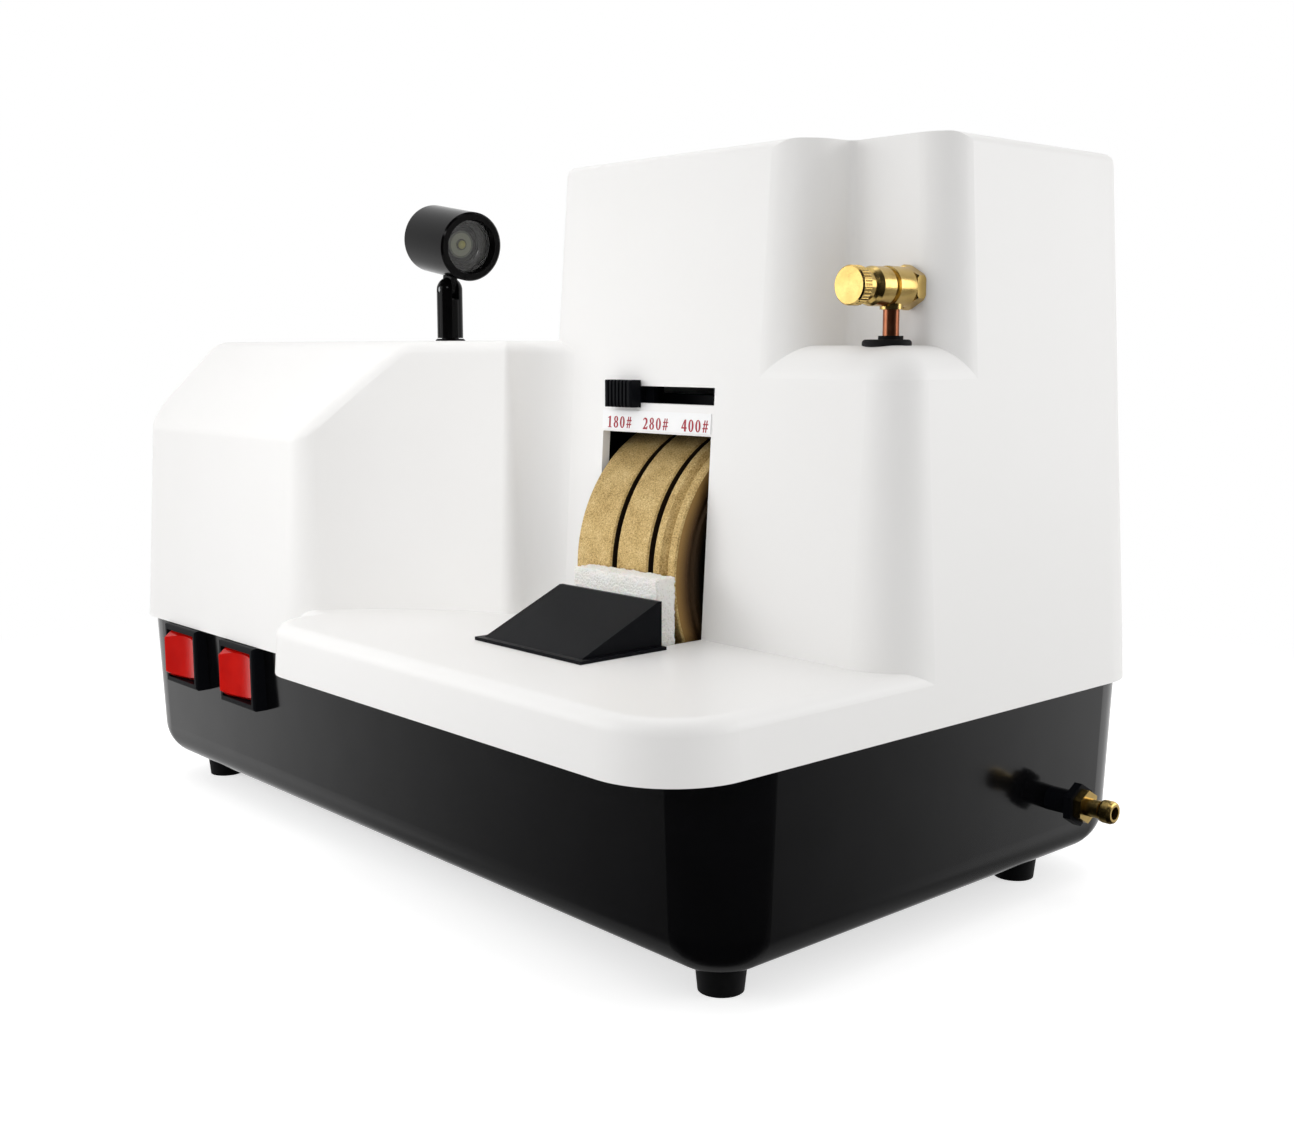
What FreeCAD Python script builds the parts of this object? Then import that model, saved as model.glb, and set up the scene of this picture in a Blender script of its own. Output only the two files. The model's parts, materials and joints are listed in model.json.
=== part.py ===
import FreeCAD, Part
import math
import os

# Optical lens edger: hand-held grinding of spectacle lenses on three water-fed wheels.
# Millimetres, Z up, X to the operator's right, Y away from the operator.
# All pieces are built on the centre of the base at floor level, then moved together so that
# the origin is the bottom centre of the whole machine.

Vec = FreeCAD.Vector
X = Vec(1, 0, 0)
Y = Vec(0, 1, 0)
Z = Vec(0, 0, 1)

# ---------------------------------------------------------------- fits and clearances
seat_gap = 0.02        # radial room between round pieces that are fixed together
run_gap = 0.05         # radial room between a shaft or pin and the hole it turns in
free_gap = 0.3         # room between pieces that move past each other
trim_gap = 0.3         # room round a part set into a cut-out
over = 1.0             # cutting bodies reach this far past what they cut
through = 10.0         # the same for cuts through leaning walls

# ---------------------------------------------------------------- housing
width = 395.0
depth = 228.5
foot_height = 10.5
base_height = 67.5
shell_wall = 3.5
base_wall = 3.0
corner_round = 24.0
base_inset = 2.5       # base wall behind the shell's rim
side_draft = 3.4       # degrees, moulding taper of the shell's outer walls
front_draft = 3.4      # degrees, taper of the hood front
flange_width = 7.5     # inward flange on which the shell stands
flange_thick = 3.0
half_w = width / 2
half_d = depth / 2
parting_z = foot_height + base_height

# work shelf in front of the wheels
shelf_rise = 19.3
apron_reach = 21.0
apron_width = 233.5
apron_left_round = 20.5
apron_right_round = 29.4
shelf_edge_round = 5.0
shelf_z = parting_z + shelf_rise
apron_front = -half_d - apron_reach
apron_left = half_w - apron_width

# motor box on the left
box_rise = 125.5
box_width = 153.7      # to the start of the scoop
box_chamfer = 38.1     # 45 degree slope along the front of the lid
chamfer_round = 12.0
box_edge_round = 5.0
box_z = parting_z + box_rise
box_right = -half_w + box_width

# scoop between motor box and hood, where the left hand works
scoop_start_angle = 60.0
scoop_end_angle = 26.0
scoop_length = 46.0    # tangent length of each side of the scoop
scoop_round = 115.0
scoop_start_round = 18.0
scoop_end_round = 9.0
scoop_foot_round = 10.0

# hood over the wheels and the water tower above it
hood_setback = 78.0    # hood front behind the box front, at the parting line
tower_rise = 192.0
tower_left = 6.0
tower_left_round = 17.0
hood_corner_round = 20.5
tower_edge_round = 3.5
hood_front = -half_d + hood_setback
tower_z = parting_z + tower_rise

# notch for the water tap, upper right of the tower
notch_rise = 123.5
notch_depth = 34.55    # back wall behind the hood front, at the parting line
notch_width = 52.1     # inner corner to the right wall, at the parting line
notch_side_angle = 85.0
notch_outer_round = 16.0
notch_inner_round = 3.0
notch_right_round = 13.0
dome_round = 12.5      # rounded front and right edge of the notch floor
notch_z = parting_z + notch_rise
notch_y = hood_front + notch_depth
notch_x = half_w - notch_width

# cuts in the upper shell
vent_count = 8
vent_left = -160.0
vent_pitch = 12.0
vent_wide = 4.0
vent_low = 110.0
vent_high = 55.0
shelf_cut_front = -62.0
hood_window_back = -20.0
flange_over = 0.5
web_short = 2.0        # boss web short of the wall's middle

blend = 0.05           # overlap that keeps tangent faces from meeting exactly
least_round = 0.6


def corner(wall_in, wall_out, radius, z):
    """Rounded corner between two walls, each (x, y, ux, uy): start, middle and end points."""
    ax, ay, aux, auy = wall_in
    bx, by, bux, buy = wall_out
    turn = aux * buy - auy * bux
    along = ((bx - ax) * buy - (by - ay) * bux) / turn
    tip = Vec(ax + aux * along, ay + auy * along, z)
    if radius <= 0:
        return [tip]
    half = abs(math.atan2(turn, aux * bux + auy * buy)) / 2
    reach = radius * math.tan(half)
    start = tip - Vec(aux, auy, 0) * reach
    end = tip + Vec(bux, buy, 0) * reach
    side = 1 if turn > 0 else -1
    centre = start + Vec(-auy, aux, 0) * (radius * side)
    middle = centre + (tip - centre).normalize() * radius
    return [start, middle, end]


def plan_corners(outline, z, inset):
    """Corner points of a drafted outline at height z, moved inwards by inset.

    Each entry of the outline is (x, y, radius, draft of the wall that leaves this corner),
    with x and y at the parting line, counter-clockwise seen from above.
    """
    count = len(outline)
    walls = []
    for i in range(count):
        x0, y0, _, draft = outline[i]
        x1, y1 = outline[(i + 1) % count][:2]
        length = math.hypot(x1 - x0, y1 - y0)
        ux = (x1 - x0) / length
        uy = (y1 - y0) / length
        lean = inset + (z - parting_z) * math.tan(math.radians(draft))
        walls.append((x0 - uy * lean, y0 + ux * lean, ux, uy))
    corners = []
    for i in range(count):
        radius = outline[i][2]
        if radius > 0:
            turn = walls[i - 1][2] * walls[i][3] - walls[i - 1][3] * walls[i][2]
            closer = inset
            if outline[i - 1][3] == outline[i][3]:
                closer += (z - parting_z) * math.tan(math.radians(outline[i][3]))
            radius = max(radius - closer if turn > 0 else radius + closer, least_round)
        corners.append(corner(walls[i - 1], walls[i], radius, z))
    return corners


def drafted_block(outline, z0, z1, inset=0.0):
    """Solid with drafted flat walls and rounded upright corners between two heights."""
    low = plan_corners(outline, z0, inset)
    high = plan_corners(outline, z1, inset)
    faces = []
    rims = ([], [])
    count = len(low)
    for i in range(count):
        nxt = (i + 1) % count
        if len(low[i]) == 3:
            bend = Part.Arc(*low[i]).toShape()
            upper = Part.Arc(*high[i]).toShape()
            aside = upper.Curve.Center - bend.Curve.Center
            if math.hypot(aside.x, aside.y) < 1e-6:
                rib = Part.makeLine(low[i][0], high[i][0])
                first = low[i][1] - low[i][0]
                second = low[i][2] - low[i][1]
                angle = 2 * math.degrees(first.getAngle(second))
                way = Z if first.cross(second).z > 0 else -Z
                faces.append(rib.revolve(bend.Curve.Center, way, angle))
            elif abs(upper.Curve.Radius - bend.Curve.Radius) < 1e-6:
                faces.append(bend.extrude(high[i][0] - low[i][0]))
            else:
                faces.append(Part.makeRuledSurface(bend, upper))
            rims[0].append(bend)
            rims[1].append(upper)
        a, b = low[i][-1], low[nxt][0]
        c, d = high[i][-1], high[nxt][0]
        faces.append(Part.Face(Part.makePolygon([a, b, d, c, a])))
        rims[0].append(Part.makeLine(a, b))
        rims[1].append(Part.makeLine(c, d))
    for rim in rims:
        faces.append(Part.Face(Part.Wire(rim)))
    skin = Part.makeShell(faces)
    skin.sewShape()
    solid = Part.makeSolid(skin)
    if solid.Volume < 0:
        solid = Part.makeSolid(skin.reversed())
    return solid.removeSplitter()


def edges_at(shape, z, x_from=-1e4, x_to=1e4, y_from=-1e4, y_to=1e4):
    """Edges that lie in the plane at height z, with their middle inside the given window."""
    found = []
    for edge in shape.Edges:
        box = edge.BoundBox
        middle = box.Center
        level = abs(box.ZMin - z) < 1e-3 and abs(box.ZMax - z) < 1e-3
        if level and x_from < middle.x < x_to and y_from < middle.y < y_to:
            found.append(edge)
    return found


def prism(points, axis, start, length):
    """Polygon of (u, v) points pushed along one axis: u, v are (y, z), (x, z) or (x, y)."""
    if axis == X:
        corners = [Vec(start, u, v) for u, v in points]
    elif axis == Y:
        corners = [Vec(u, start, v) for u, v in points]
    else:
        corners = [Vec(u, v, start) for u, v in points]
    return Part.Face(Part.makePolygon(corners + corners[:1])).extrude(axis * length)


def box(x0, x1, y0, y1, z0, z1):
    return Part.makeBox(x1 - x0, y1 - y0, z1 - z0, Vec(x0, y0, z0))


# ---------------------------------------------------------------- upper shell, outer form
scoop_in = (box_right + scoop_length * math.cos(math.radians(scoop_start_angle)),
            -half_d + scoop_length * math.sin(math.radians(scoop_start_angle)))
scoop_out = (scoop_in[0] + scoop_length * math.cos(math.radians(scoop_end_angle)),
             scoop_in[1] + scoop_length * math.sin(math.radians(scoop_end_angle)))
scoop_foot_x = scoop_out[0]
join_x = scoop_foot_x + 2 * scoop_foot_round

shelf_outline = [
    (apron_left, apron_front, apron_left_round, side_draft),
    (half_w, apron_front, apron_right_round, side_draft),
    (half_w, notch_y, 0, 0),
    (box_right - scoop_start_round, notch_y, 0, 0),
    (box_right - scoop_start_round, -half_d + base_inset, 0, side_draft),
    (apron_left, -half_d + base_inset, 0, side_draft),
]
box_outline = [
    (-half_w, -half_d, corner_round, side_draft),
    (box_right, -half_d, scoop_start_round, side_draft),
    (scoop_in[0], scoop_in[1], scoop_round, side_draft),
    (scoop_out[0], scoop_out[1], scoop_end_round, side_draft),
    (scoop_foot_x, hood_front + blend, scoop_foot_round, front_draft),
    (join_x, hood_front + blend, 0, 0),
    (join_x, half_d, 0, side_draft),
    (-half_w, half_d, corner_round, side_draft),
]
tower_outline = [
    (tower_left, hood_front, tower_left_round, front_draft),
    (half_w, hood_front, hood_corner_round, side_draft),
    (half_w, half_d, corner_round, side_draft),
    (tower_left, half_d, tower_left_round, side_draft),
]


def rounded_profile(points, radii, axis, start, length):
    """Polygon with rounded corners in (u, v), pushed along X or Y."""
    count = len(points)
    walls = []
    for i in range(count):
        x0, y0 = points[i]
        x1, y1 = points[(i + 1) % count]
        span = math.hypot(x1 - x0, y1 - y0)
        walls.append((x0, y0, (x1 - x0) / span, (y1 - y0) / span))
    corners = [corner(walls[i - 1], walls[i], radii[i], 0) for i in range(count)]

    def place(p):
        if axis == X:
            return Vec(start, p.x, p.y)
        if axis == Y:
            return Vec(p.x, start, p.y)
        return Vec(p.x, p.y, start)
    edges = []
    for i in range(count):
        here = [place(p) for p in corners[i]]
        there = place(corners[(i + 1) % count][0])
        if len(here) == 3:
            edges.append(Part.Arc(*here).toShape())
        if (there - here[-1]).Length > 1e-6:
            edges.append(Part.makeLine(here[-1], there))
    return Part.Face(Part.Wire(edges)).extrude(axis * length)


def motor_box(z0, inset):
    """Drafted box with the scoop in its right side and the long sloping lid edge."""
    body = drafted_block(box_outline, z0, box_z + 20, inset)
    top = box_z - inset
    low = z0 - 1
    slope_foot = box_z - box_chamfer
    front = -half_d + math.tan(math.radians(side_draft)) * (slope_foot - parting_z)
    slip = inset * (math.sqrt(2) - 1)
    crease_y = front + box_chamfer + slip
    reach = 30.0
    profile = [
        (front - reach, low),
        (half_d + reach, low),
        (half_d + reach, top),
        (crease_y, top),
        (front - reach, slope_foot - reach - inset * math.sqrt(2)),
    ]
    roll = chamfer_round - inset if inset > 0 else 0
    lid = rounded_profile(profile, [0, 0, 0, roll, 0], X, -half_w - 1, width)
    form = body.common(lid)
    if inset > 0:
        return form
    crease = []
    for edge in form.Edges:
        middle = edge.BoundBox.Center
        if abs(middle.z - top) < 1e-3 and abs(middle.y - crease_y) < 1:
            crease.append(edge)
    form = form.makeFillet(chamfer_round, crease)
    rim = []
    for edge in form.Edges:
        span = edge.BoundBox
        on_rim = span.ZMin > slope_foot - 1 and span.ZLength < box_chamfer + 1 and span.XMin < join_x - 1
        along_crease = span.XLength > box_width / 2 and abs(span.Center.y - crease_y) < chamfer_round
        if on_rim and not along_crease:
            rim.append(edge)
    return form.makeFillet(box_edge_round, rim)


def tower_cut(inset):
    """Room of the tap notch: open to the front, right and top, with the rounded floor left standing."""
    reach = 60.0
    side_x = notch_x - notch_depth / math.tan(math.radians(notch_side_angle))
    left_x = side_x - 2 * notch_outer_round
    behind = notch_y + 2 * notch_right_round
    air = [
        (left_x, hood_front - reach, 0, 0),
        (half_w + reach, hood_front - reach, 0, 0),
        (half_w + reach, behind, 0, 0),
        (half_w + blend, behind, 0, -side_draft),
        (half_w + blend, notch_y, notch_right_round, 0),
        (notch_x, notch_y, notch_inner_round, 0),
        (side_x, hood_front - blend, notch_outer_round, -front_draft),
        (left_x, hood_front - blend, 0, 0),
    ]
    ground = [
        (left_x - dome_round, hood_front, 0, front_draft),
        (half_w, hood_front, hood_corner_round, side_draft),
        (half_w, behind + dome_round, 0, 0),
        (left_x - dome_round, behind + dome_round, 0, 0),
    ]
    low = notch_z - 2 * dome_round
    floor_z = notch_z - inset
    dome = drafted_block(ground, low - dome_round, floor_z, inset - blend / 2)
    rim = edges_at(dome, floor_z, left_x - dome_round + 1, 1e4, -1e4, behind + dome_round - 1)
    dome = dome.makeFillet(dome_round - inset, rim)
    return drafted_block(air, low, tower_z + reach, -inset).cut(dome)


def outer_form(inset=0.0):
    """Whole moulded form of the shell; with an inset, the hollow inside it."""
    z0 = parting_z if inset == 0 else parting_z + flange_thick
    shelf = drafted_block(shelf_outline, z0, shelf_z - inset, inset)
    left = motor_box(z0, inset)
    tower = drafted_block(tower_outline, z0, tower_z - inset, inset)
    if inset == 0:
        shelf = shelf.makeFillet(shelf_edge_round, edges_at(shelf, shelf_z, -1e4, 1e4, -1e4, 0))
        tower = tower.makeFillet(tower_edge_round, edges_at(tower, tower_z))
    return tower.cut(tower_cut(inset)).fuse([left, shelf]).removeSplitter()


def placed(shape):
    """Single clean solid out of a boolean result."""
    solids = shape.removeSplitter().Solids
    return solids[0] if len(solids) == 1 else Part.makeCompound(solids)


def rod(axis, start, radius, length):
    return Part.makeCylinder(radius, length, start, axis)


def tube(axis, start, outer, inner, length):
    hole = rod(axis, start - axis * 1.0, inner, length + 2.0)
    return rod(axis, start, outer, length).cut(hole)


def hexagon(axis, start, across, length):
    """Hexagonal bar, with its corners turned upwards or to the back."""
    radius = across / math.sqrt(3)
    side = Z if axis != Z else Y
    other = axis.cross(side)
    points = []
    for i in range(7):
        angle = math.radians(60 * i)
        points.append(start + side * (radius * math.cos(angle)) + other * (radius * math.sin(angle)))
    return Part.Face(Part.makePolygon(points)).extrude(axis * length)


def turned(profile, axis, start):
    """Body turned about an axis from (distance along the axis, radius) points."""
    side = Z if axis != Z else Y
    points = [start + axis * along + side * radius for along, radius in profile]
    return Part.Face(Part.makePolygon(points + points[:1])).revolve(start, axis, 360)


def ring_profile(a0, a1, outer, inner, bevel=0.0):
    return [(a0, inner), (a0, outer - bevel), (a0 + bevel, outer), (a1 - bevel, outer),
            (a1, outer - bevel), (a1, inner)]


# ---------------------------------------------------------------- base
base_taper = 2.3
base_bottom_round = 17.0
post_in_x = 20.0
post_in_y = 21.0
post_radius = 6.5
screw_radius = 2.0
screw_head_radius = 3.8
screw_head_high = 3.0
screw_grip = 6.0       # plastic under each screw head
screw_long = 18.0
screw_slot_long = 6.0
screw_slot_wide = 1.0
screw_slot_deep = 1.0
foot_screw_past = 2.0   # end of a foot screw above the base's floor
drill_in = 25.0         # side wall holes start this far inside
drill_long = 30.0
switch_cut_deep = 12.0
boss_high = shelf_rise - shell_wall - 1.0
rib_thick = 3.0
plate_rise = 23.5      # chassis plate above the bottom of the base
plate_thick = 2.5
plate_left = -165.0
plate_right = 30.0
plate_half = 100.0
plate_z = foot_height + plate_rise
plate_top = plate_z + plate_thick
plate_post_x = (plate_left + 12.0, plate_right - 10.0)
plate_post_y = plate_half - 15.0
base_half_w = half_w - base_inset
base_half_d = half_d - base_inset
base_outline = [
    (-base_half_w, -base_half_d, corner_round, -base_taper),
    (base_half_w, -base_half_d, corner_round, -base_taper),
    (base_half_w, base_half_d, corner_round, -base_taper),
    (-base_half_w, base_half_d, corner_round, -base_taper),
]
corner_posts = [(sx * (half_w - post_in_x), sy * (half_d - post_in_y)) for sx in (-1, 1) for sy in (-1, 1)]
plate_posts = [(px, sy * plate_post_y) for px in plate_post_x for sy in (-1, 1)]

# feet
foot_top_radius = 8.65
foot_end_radius = 7.5
foot_x = 168.0
foot_front = -84.0
foot_back = 74.0
foot_places = [(sx * foot_x, fy) for sx in (-1, 1) for fy in (foot_front, foot_back)]
foot_screw_grip = 3.5

# ---------------------------------------------------------------- wheel shaft and wheels
axis_y = 9.1
axis_rise = 41.2
axis_z = parting_z + axis_rise
wheel_radius = 54.9
wheel_thick = (20.0, 17.0, 12.0)
wheel_gap = 2.8
wheel_margin = 1.7     # window edge to the first wheel
shaft_radius = 8.0
journal_radius = 6.0
thread_radius = 6.0
shaft_tail = 2.0        # shaft end behind the left end bell
shaft_shoulder = 1.0
shaft_chamfer = 1.0
shaft_past_nut = 3.0
bevel_groove = 2.2
wheel_chamfer = 0.6
face_rings = (6.0, 13.0)  # turned rings in the outer face, in from the rim
face_ring_wide = 3.0
face_ring_deep = 1.2
face_ring_slope = 0.8
window_left = 48.7
window_wide = 58.8
window_top = 169.6
window_right = window_left + window_wide
wheel_starts = []
wheel_x = window_left + wheel_margin
for thick in wheel_thick:
    wheel_starts.append(wheel_x)
    wheel_x += thick + wheel_gap
wheels_left = wheel_starts[0]
wheels_right = wheel_x - wheel_gap
inner_flange = 5.4
outer_flange = 4.0
flange_radius = 24.0
flange_hub = 0.6        # hub radius of the inner flange, as a share
flange_nose = 0.7       # end radius of the outer flange, as a share
spacer_radius = 40.0
nut_across = 19.0
nut_high = 8.0
shaft_end = wheels_right + outer_flange + nut_high + shaft_past_nut

# ---------------------------------------------------------------- motor
motor_left = -150.0
motor_long = 110.0
motor_radius = 48.0
motor_wall = 5.0
bell_long = 12.0
bell_straight = 0.4     # cylindrical share of a bell's length
bell_nose = 0.62        # radius at its end, as a share
bell_lip = 2.0
bearing_radius = 16.0
bearing_wide = 10.0
bearing_chamfer = 0.6
rotor_radius = 26.0
rotor_air = 0.5
rotor_end_room = 20.0
stator_end_room = 12.0
motor_right = motor_left + motor_long
saddle_thick = 8.0
saddle_in = 10.0
saddle_half = 56.0
saddle_rise = 68.5     # saddle top above the chassis plate
cradle_floor = 4.0
strap_thick = 2.0
saddle_z = plate_top + saddle_rise

# run capacitor and terminal block on the chassis plate
capacitor_radius = 17.0
capacitor_long = 62.0
capacitor_x = -150.0
capacitor_y = 84.5
capacitor_rise = 1.5    # can above the plate
can_chamfer = 1.0
clip_at = (22.0, 34.0)  # from the capacitor's left end
clip_half = 14.0
clip_high = 8.0
terminal_left = -60.0
terminal_front = 78.0
terminal_long = 54.0
terminal_deep = 18.0
terminal_high = 14.0
terminal_count = 5
terminal_pitch = 10.0
terminal_first = 7.0
terminal_rows = (5.0, 13.0)
terminal_hole = 2.2
terminal_hole_floor = 6.0

# ---------------------------------------------------------------- wheel chamber (splash box)
chamber_step = 5.0      # inner face behind the hood's inner face
stub_wall = 1.2
seal_lip_room = 2.0
seal_flange = 1.5
seal_lip = 1.0
chamber_wall = 2.5
chamber_left = wheels_left - 9.0
chamber_right = shaft_end + 3.0
chamber_front = -90.0
chamber_back = 72.0
chamber_sides_z = 170.0
chamber_roof_z = 178.0
roof_front = -4.0
shelf_under = shelf_z - shell_wall - free_gap
seal_radius = 14.0
outlet_radius = 3.5
outlet_y = 58.2
outlet_z = 39.5
outlet_long = 10.0
hood_lean = math.tan(math.radians(front_draft))


def hood_face(z):
    """Y of the hood's outer front face at height z."""
    return hood_front + (z - parting_z) * hood_lean


hood_inside = hood_face(chamber_sides_z) + shell_wall + free_gap

# ---------------------------------------------------------------- sponge and its holder
holder_left = 56.0
holder_right = 110.5
holder_front = -93.0
holder_back = -57.0
holder_rise = 16.7
holder_wall = 2.0
lip_wide = 2.5
lip_thick = 1.2
tray_low = 82.0
sponge_left = 49.6
sponge_right = 107.0
sponge_front = holder_back + trim_gap
sponge_back = -46.6
sponge_z = 121.5
sponge_round = 1.5
ridge_wide = 1.5        # flat top of the wedge
hollow_in = 6.0         # front of the wedge's hollow behind its edge
slope_wall = 2.6

# ---------------------------------------------------------------- grit selector
label_thick = 0.5
label_low = 170.4
label_high = 177.6
slot_left = 55.0
slot_right = 108.0
slot_low = 180.5
slot_high = 186.8
knob_wide = 15.0
knob_low = 178.9
knob_high = 189.0
knob_reach = 5.2
knob_ribs = 6
knob_rib_deep = 0.8
knob_round = 1.0
knob_border = 1.5       # plain edge beside the ribs
neck_in = 3.0           # neck narrower than the knob at each side
arm_half = 5.0
slot_mid = (slot_low + slot_high) / 2
neck_half = (slot_high - slot_low) / 2 - free_gap
slide_plate_half = 7.4
slide_plate_thick = 2.0
slide_plate_extra = 2.0
rail_left = 40.0
rail_right = 124.0
rail_thick = 2.2
rail_rib = 4.0
rail_room = 0.2
trough_long = 64.0
trough_wide = 10.4
trough_low = 175.5
trough_deep = 8.0
trough_wall = 1.2
nozzle_radius = 3.0
nozzle_bore = 1.75
nozzle_drop = 3.2
slide_plate_y = hood_face(slot_mid + slide_plate_half) + shell_wall + free_gap
rail_y = slide_plate_y + slide_plate_thick + free_gap

# ---------------------------------------------------------------- tap and water way
tap_x = 171.5
tap_rise = 18.9        # tap axis above the notch floor
tap_z = notch_z + tap_rise
tap_nut_across = 12.8
tap_nut_thick = 4.4
nut_bevel = 1.0
nut_bevel_start = 0.54  # radius where a bevel starts, of the width across flats
nut_bevel_end = 0.59
back_nut_across = 12.0
back_nut_thick = 3.2
tap_body_radius = 6.7
tap_body_long = 18.6    # in front of the nut
tap_waist_at = 8.8      # groove round the body, in front of the nut
tap_waist_wide = 1.0
tap_waist_deep = 1.6
tap_edge = 0.4
tap_front_in = 0.3      # body in front of the waist, smaller than behind it
tap_nose = ((2.4, 0.3), (0.8, 0.9), (0.0, 1.9))  # rounded front: before the end, in from the radius
outlet_boss_wall = 1.1
tube_socket = 10.0
inlet_radius = 2.0
tap_bore = 2.0
tap_spigot = 4.8
tap_spigot_long = 14.0  # behind the notch wall
tap_boss_drop = 7.3     # tap axis to the end of the outlet boss
bonnet_radius = 5.0
bonnet_long = 3.2
tap_knob_radius = 6.4
tap_knob_thick = 4.6
tap_stem_long = 12.0
tap_flutes = 36
tap_flute_radius = 0.35
tap_flute_out = 0.1     # middle of a flute outside the knob
knob_edge = 0.5
pipe_radius = 2.7
pipe_bore = 2.0
pipe_bend = 9.0
pipe_y = notch_y - 9.7
pipe_low = trough_low + trough_deep + 1.3 + pipe_radius
pipe_end_x = 113.0
pipe_top = tap_z - tap_body_radius + 0.3
grommet_long = 17.0
grommet_wide = 15.0
grommet_forward = 2.0   # centre in front of the tube
grommet_high = 1.9
grommet_round = 1.2
grommet_below = 8.0     # pad before it is cut to the floor's curve
grommet_seat = 1.5      # hole in the notch floor, wider than the tube's radius
collar_wall = 1.4
collar_long = 2.2
tank_left = 26.0
tank_right = 180.5
tank_front = 6.0
tank_back = 97.0
tank_low = 207.0
tank_high = 258.0
tank_wall = 2.5
tank_round = 3.2
tank_back_round = 18.0
back_nut_gap = 0.8
filler_x = 96.0
filler_y = 48.0
neck_radius = 17.0
neck_wall = 2.5
ring_wide = 5.0
ring_high = 1.8
cap_radius = 20.0
cap_high = 4.2
cap_edge = 1.0
cap_rim = 4.0
cap_dish = 1.2
plug_deep = 8.0

# ---------------------------------------------------------------- switches
switch_x = (-142.5, -89.8)
switch_z = 64.4
bezel_wide = 30.6
bezel_high = 26.6
bezel_proud = 5.0
bezel_round = 1.2
bezel_into = 4.0        # bezel ring before it is cut to the base's leaning front
switch_body_deep = 27.0
rocker_half_x = 11.3
rocker_half_z = 10.5
rocker_dish = 2.0       # hollow of the thumb face
rocker_cheek = 2.4      # bevel along the top and bottom of the thumb face
rocker_face = 8.6       # rim of the thumb face in front of the pivot
rocker_throw = 10.0
rocker_room = 1.6
pivot_inset = 7.75      # pivot behind the bezel's face
switch_wall = 1.5
switch_floor = 4.0
pin_x = (-8.0, 0.0, 8.0)
pin_wide = 6.0
pin_thick = 0.8
pin_long = 7.0
rocker_pin = 1.2
rocker_waist = 3.0      # widest line in front of the pivot
rocker_foot = (6.0, 4.5)  # half width and reach behind the pivot
rocker_swell = 0.2
bezel_y = -base_half_d - bezel_proud
pivot_y = bezel_y + pivot_inset

# ---------------------------------------------------------------- lamp
lamp_x = -107.5
lamp_y = 7.5
lamp_aim = -6.0
lamp_tip = 9.0
stem_radius = 6.0
spigot_radius = 4.0
spigot_long = 11.0
bush_radius = 6.9
bush_high = 1.6
bush_thread = 5.5
bush_nut_across = 15.0
bush_nut_thick = 4.0
bush_past_nut = 2.0
bush_edge = 0.6
stem_long = 22.3       # top of the bush to the tilt pivot
lamp_radius = 15.5
lamp_bore = 11.6
lamp_front = 18.5
lamp_back = 20.0
lamp_hollow = 20.0
tongue_thick = 3.2
tongue_half = 4.0
pivot_radius = 1.5
screw_under = 0.4       # ends of the pivot screw below the stem's surface
head_back_edge = 2.0
head_front_edge = 0.8
lamp_bell = (1.5, 0.6)  # flare of the bore: depth, widening
eye_under_bore = 0.5
lamp_glass_in = 4.0
lamp_glass_thick = 2.0
cone_edge = 0.6
cone_floor = 2.5
cone_radius = 4.0       # at the floor
chip_radius = 2.2
chip_slope = 0.4
chip_top = 3.4
pivot_z = box_z + bush_high + free_gap + stem_long

# ---------------------------------------------------------------- hose and cable fittings
drain_wall_x = base_half_w - (parting_z - outlet_z) * math.tan(math.radians(base_taper))
drain_neck = 4.4
drain_neck_long = 9.6
drain_hex = 13.5
drain_hex_thick = 3.0
barb_hex = 10.5
barb_hex_thick = 3.0
barb_radius = 3.7
barb_long = 10.4
barb_bore = 2.3
bead_long = 4.6         # thick end of the hose tail
hose_wall = 1.6
gland_x = -120.0
gland_z = 42.0
gland_hex = 19.0
gland_hex_thick = 5.0
gland_radius = 8.0
gland_reach = 14.0
gland_bore = 3.8
fitting_nut_thick = 4.0
past_nut = 3.0          # thread end inside the lock nut
inner_spigot = 8.0
socket_deep = 6.0
tail_in = 8.0           # hose tail inside the fitting
tail_neck = 0.5         # neck and nut seat below the tail's radius
groove_deep = 1.0
bead_proud = 0.4
hose_end_gap = 0.5
gland_thread = gland_radius - 1.5
gland_nose = (3.0, 2.5)  # taper at the cable end: long, in from the radius
gland_seat = 2.0        # flange before it is cut to the leaning wall
nut_lean = 0.48         # lock nuts stand this far off the leaning wall


def base_form(inset):
    low = foot_height + inset
    body = drafted_block(base_outline, low, parting_z + (1 if inset else 0), inset)
    return body.makeFillet(base_bottom_round - inset, edges_at(body, low))


base_outer = base_form(0)
outer = outer_form()


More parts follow.
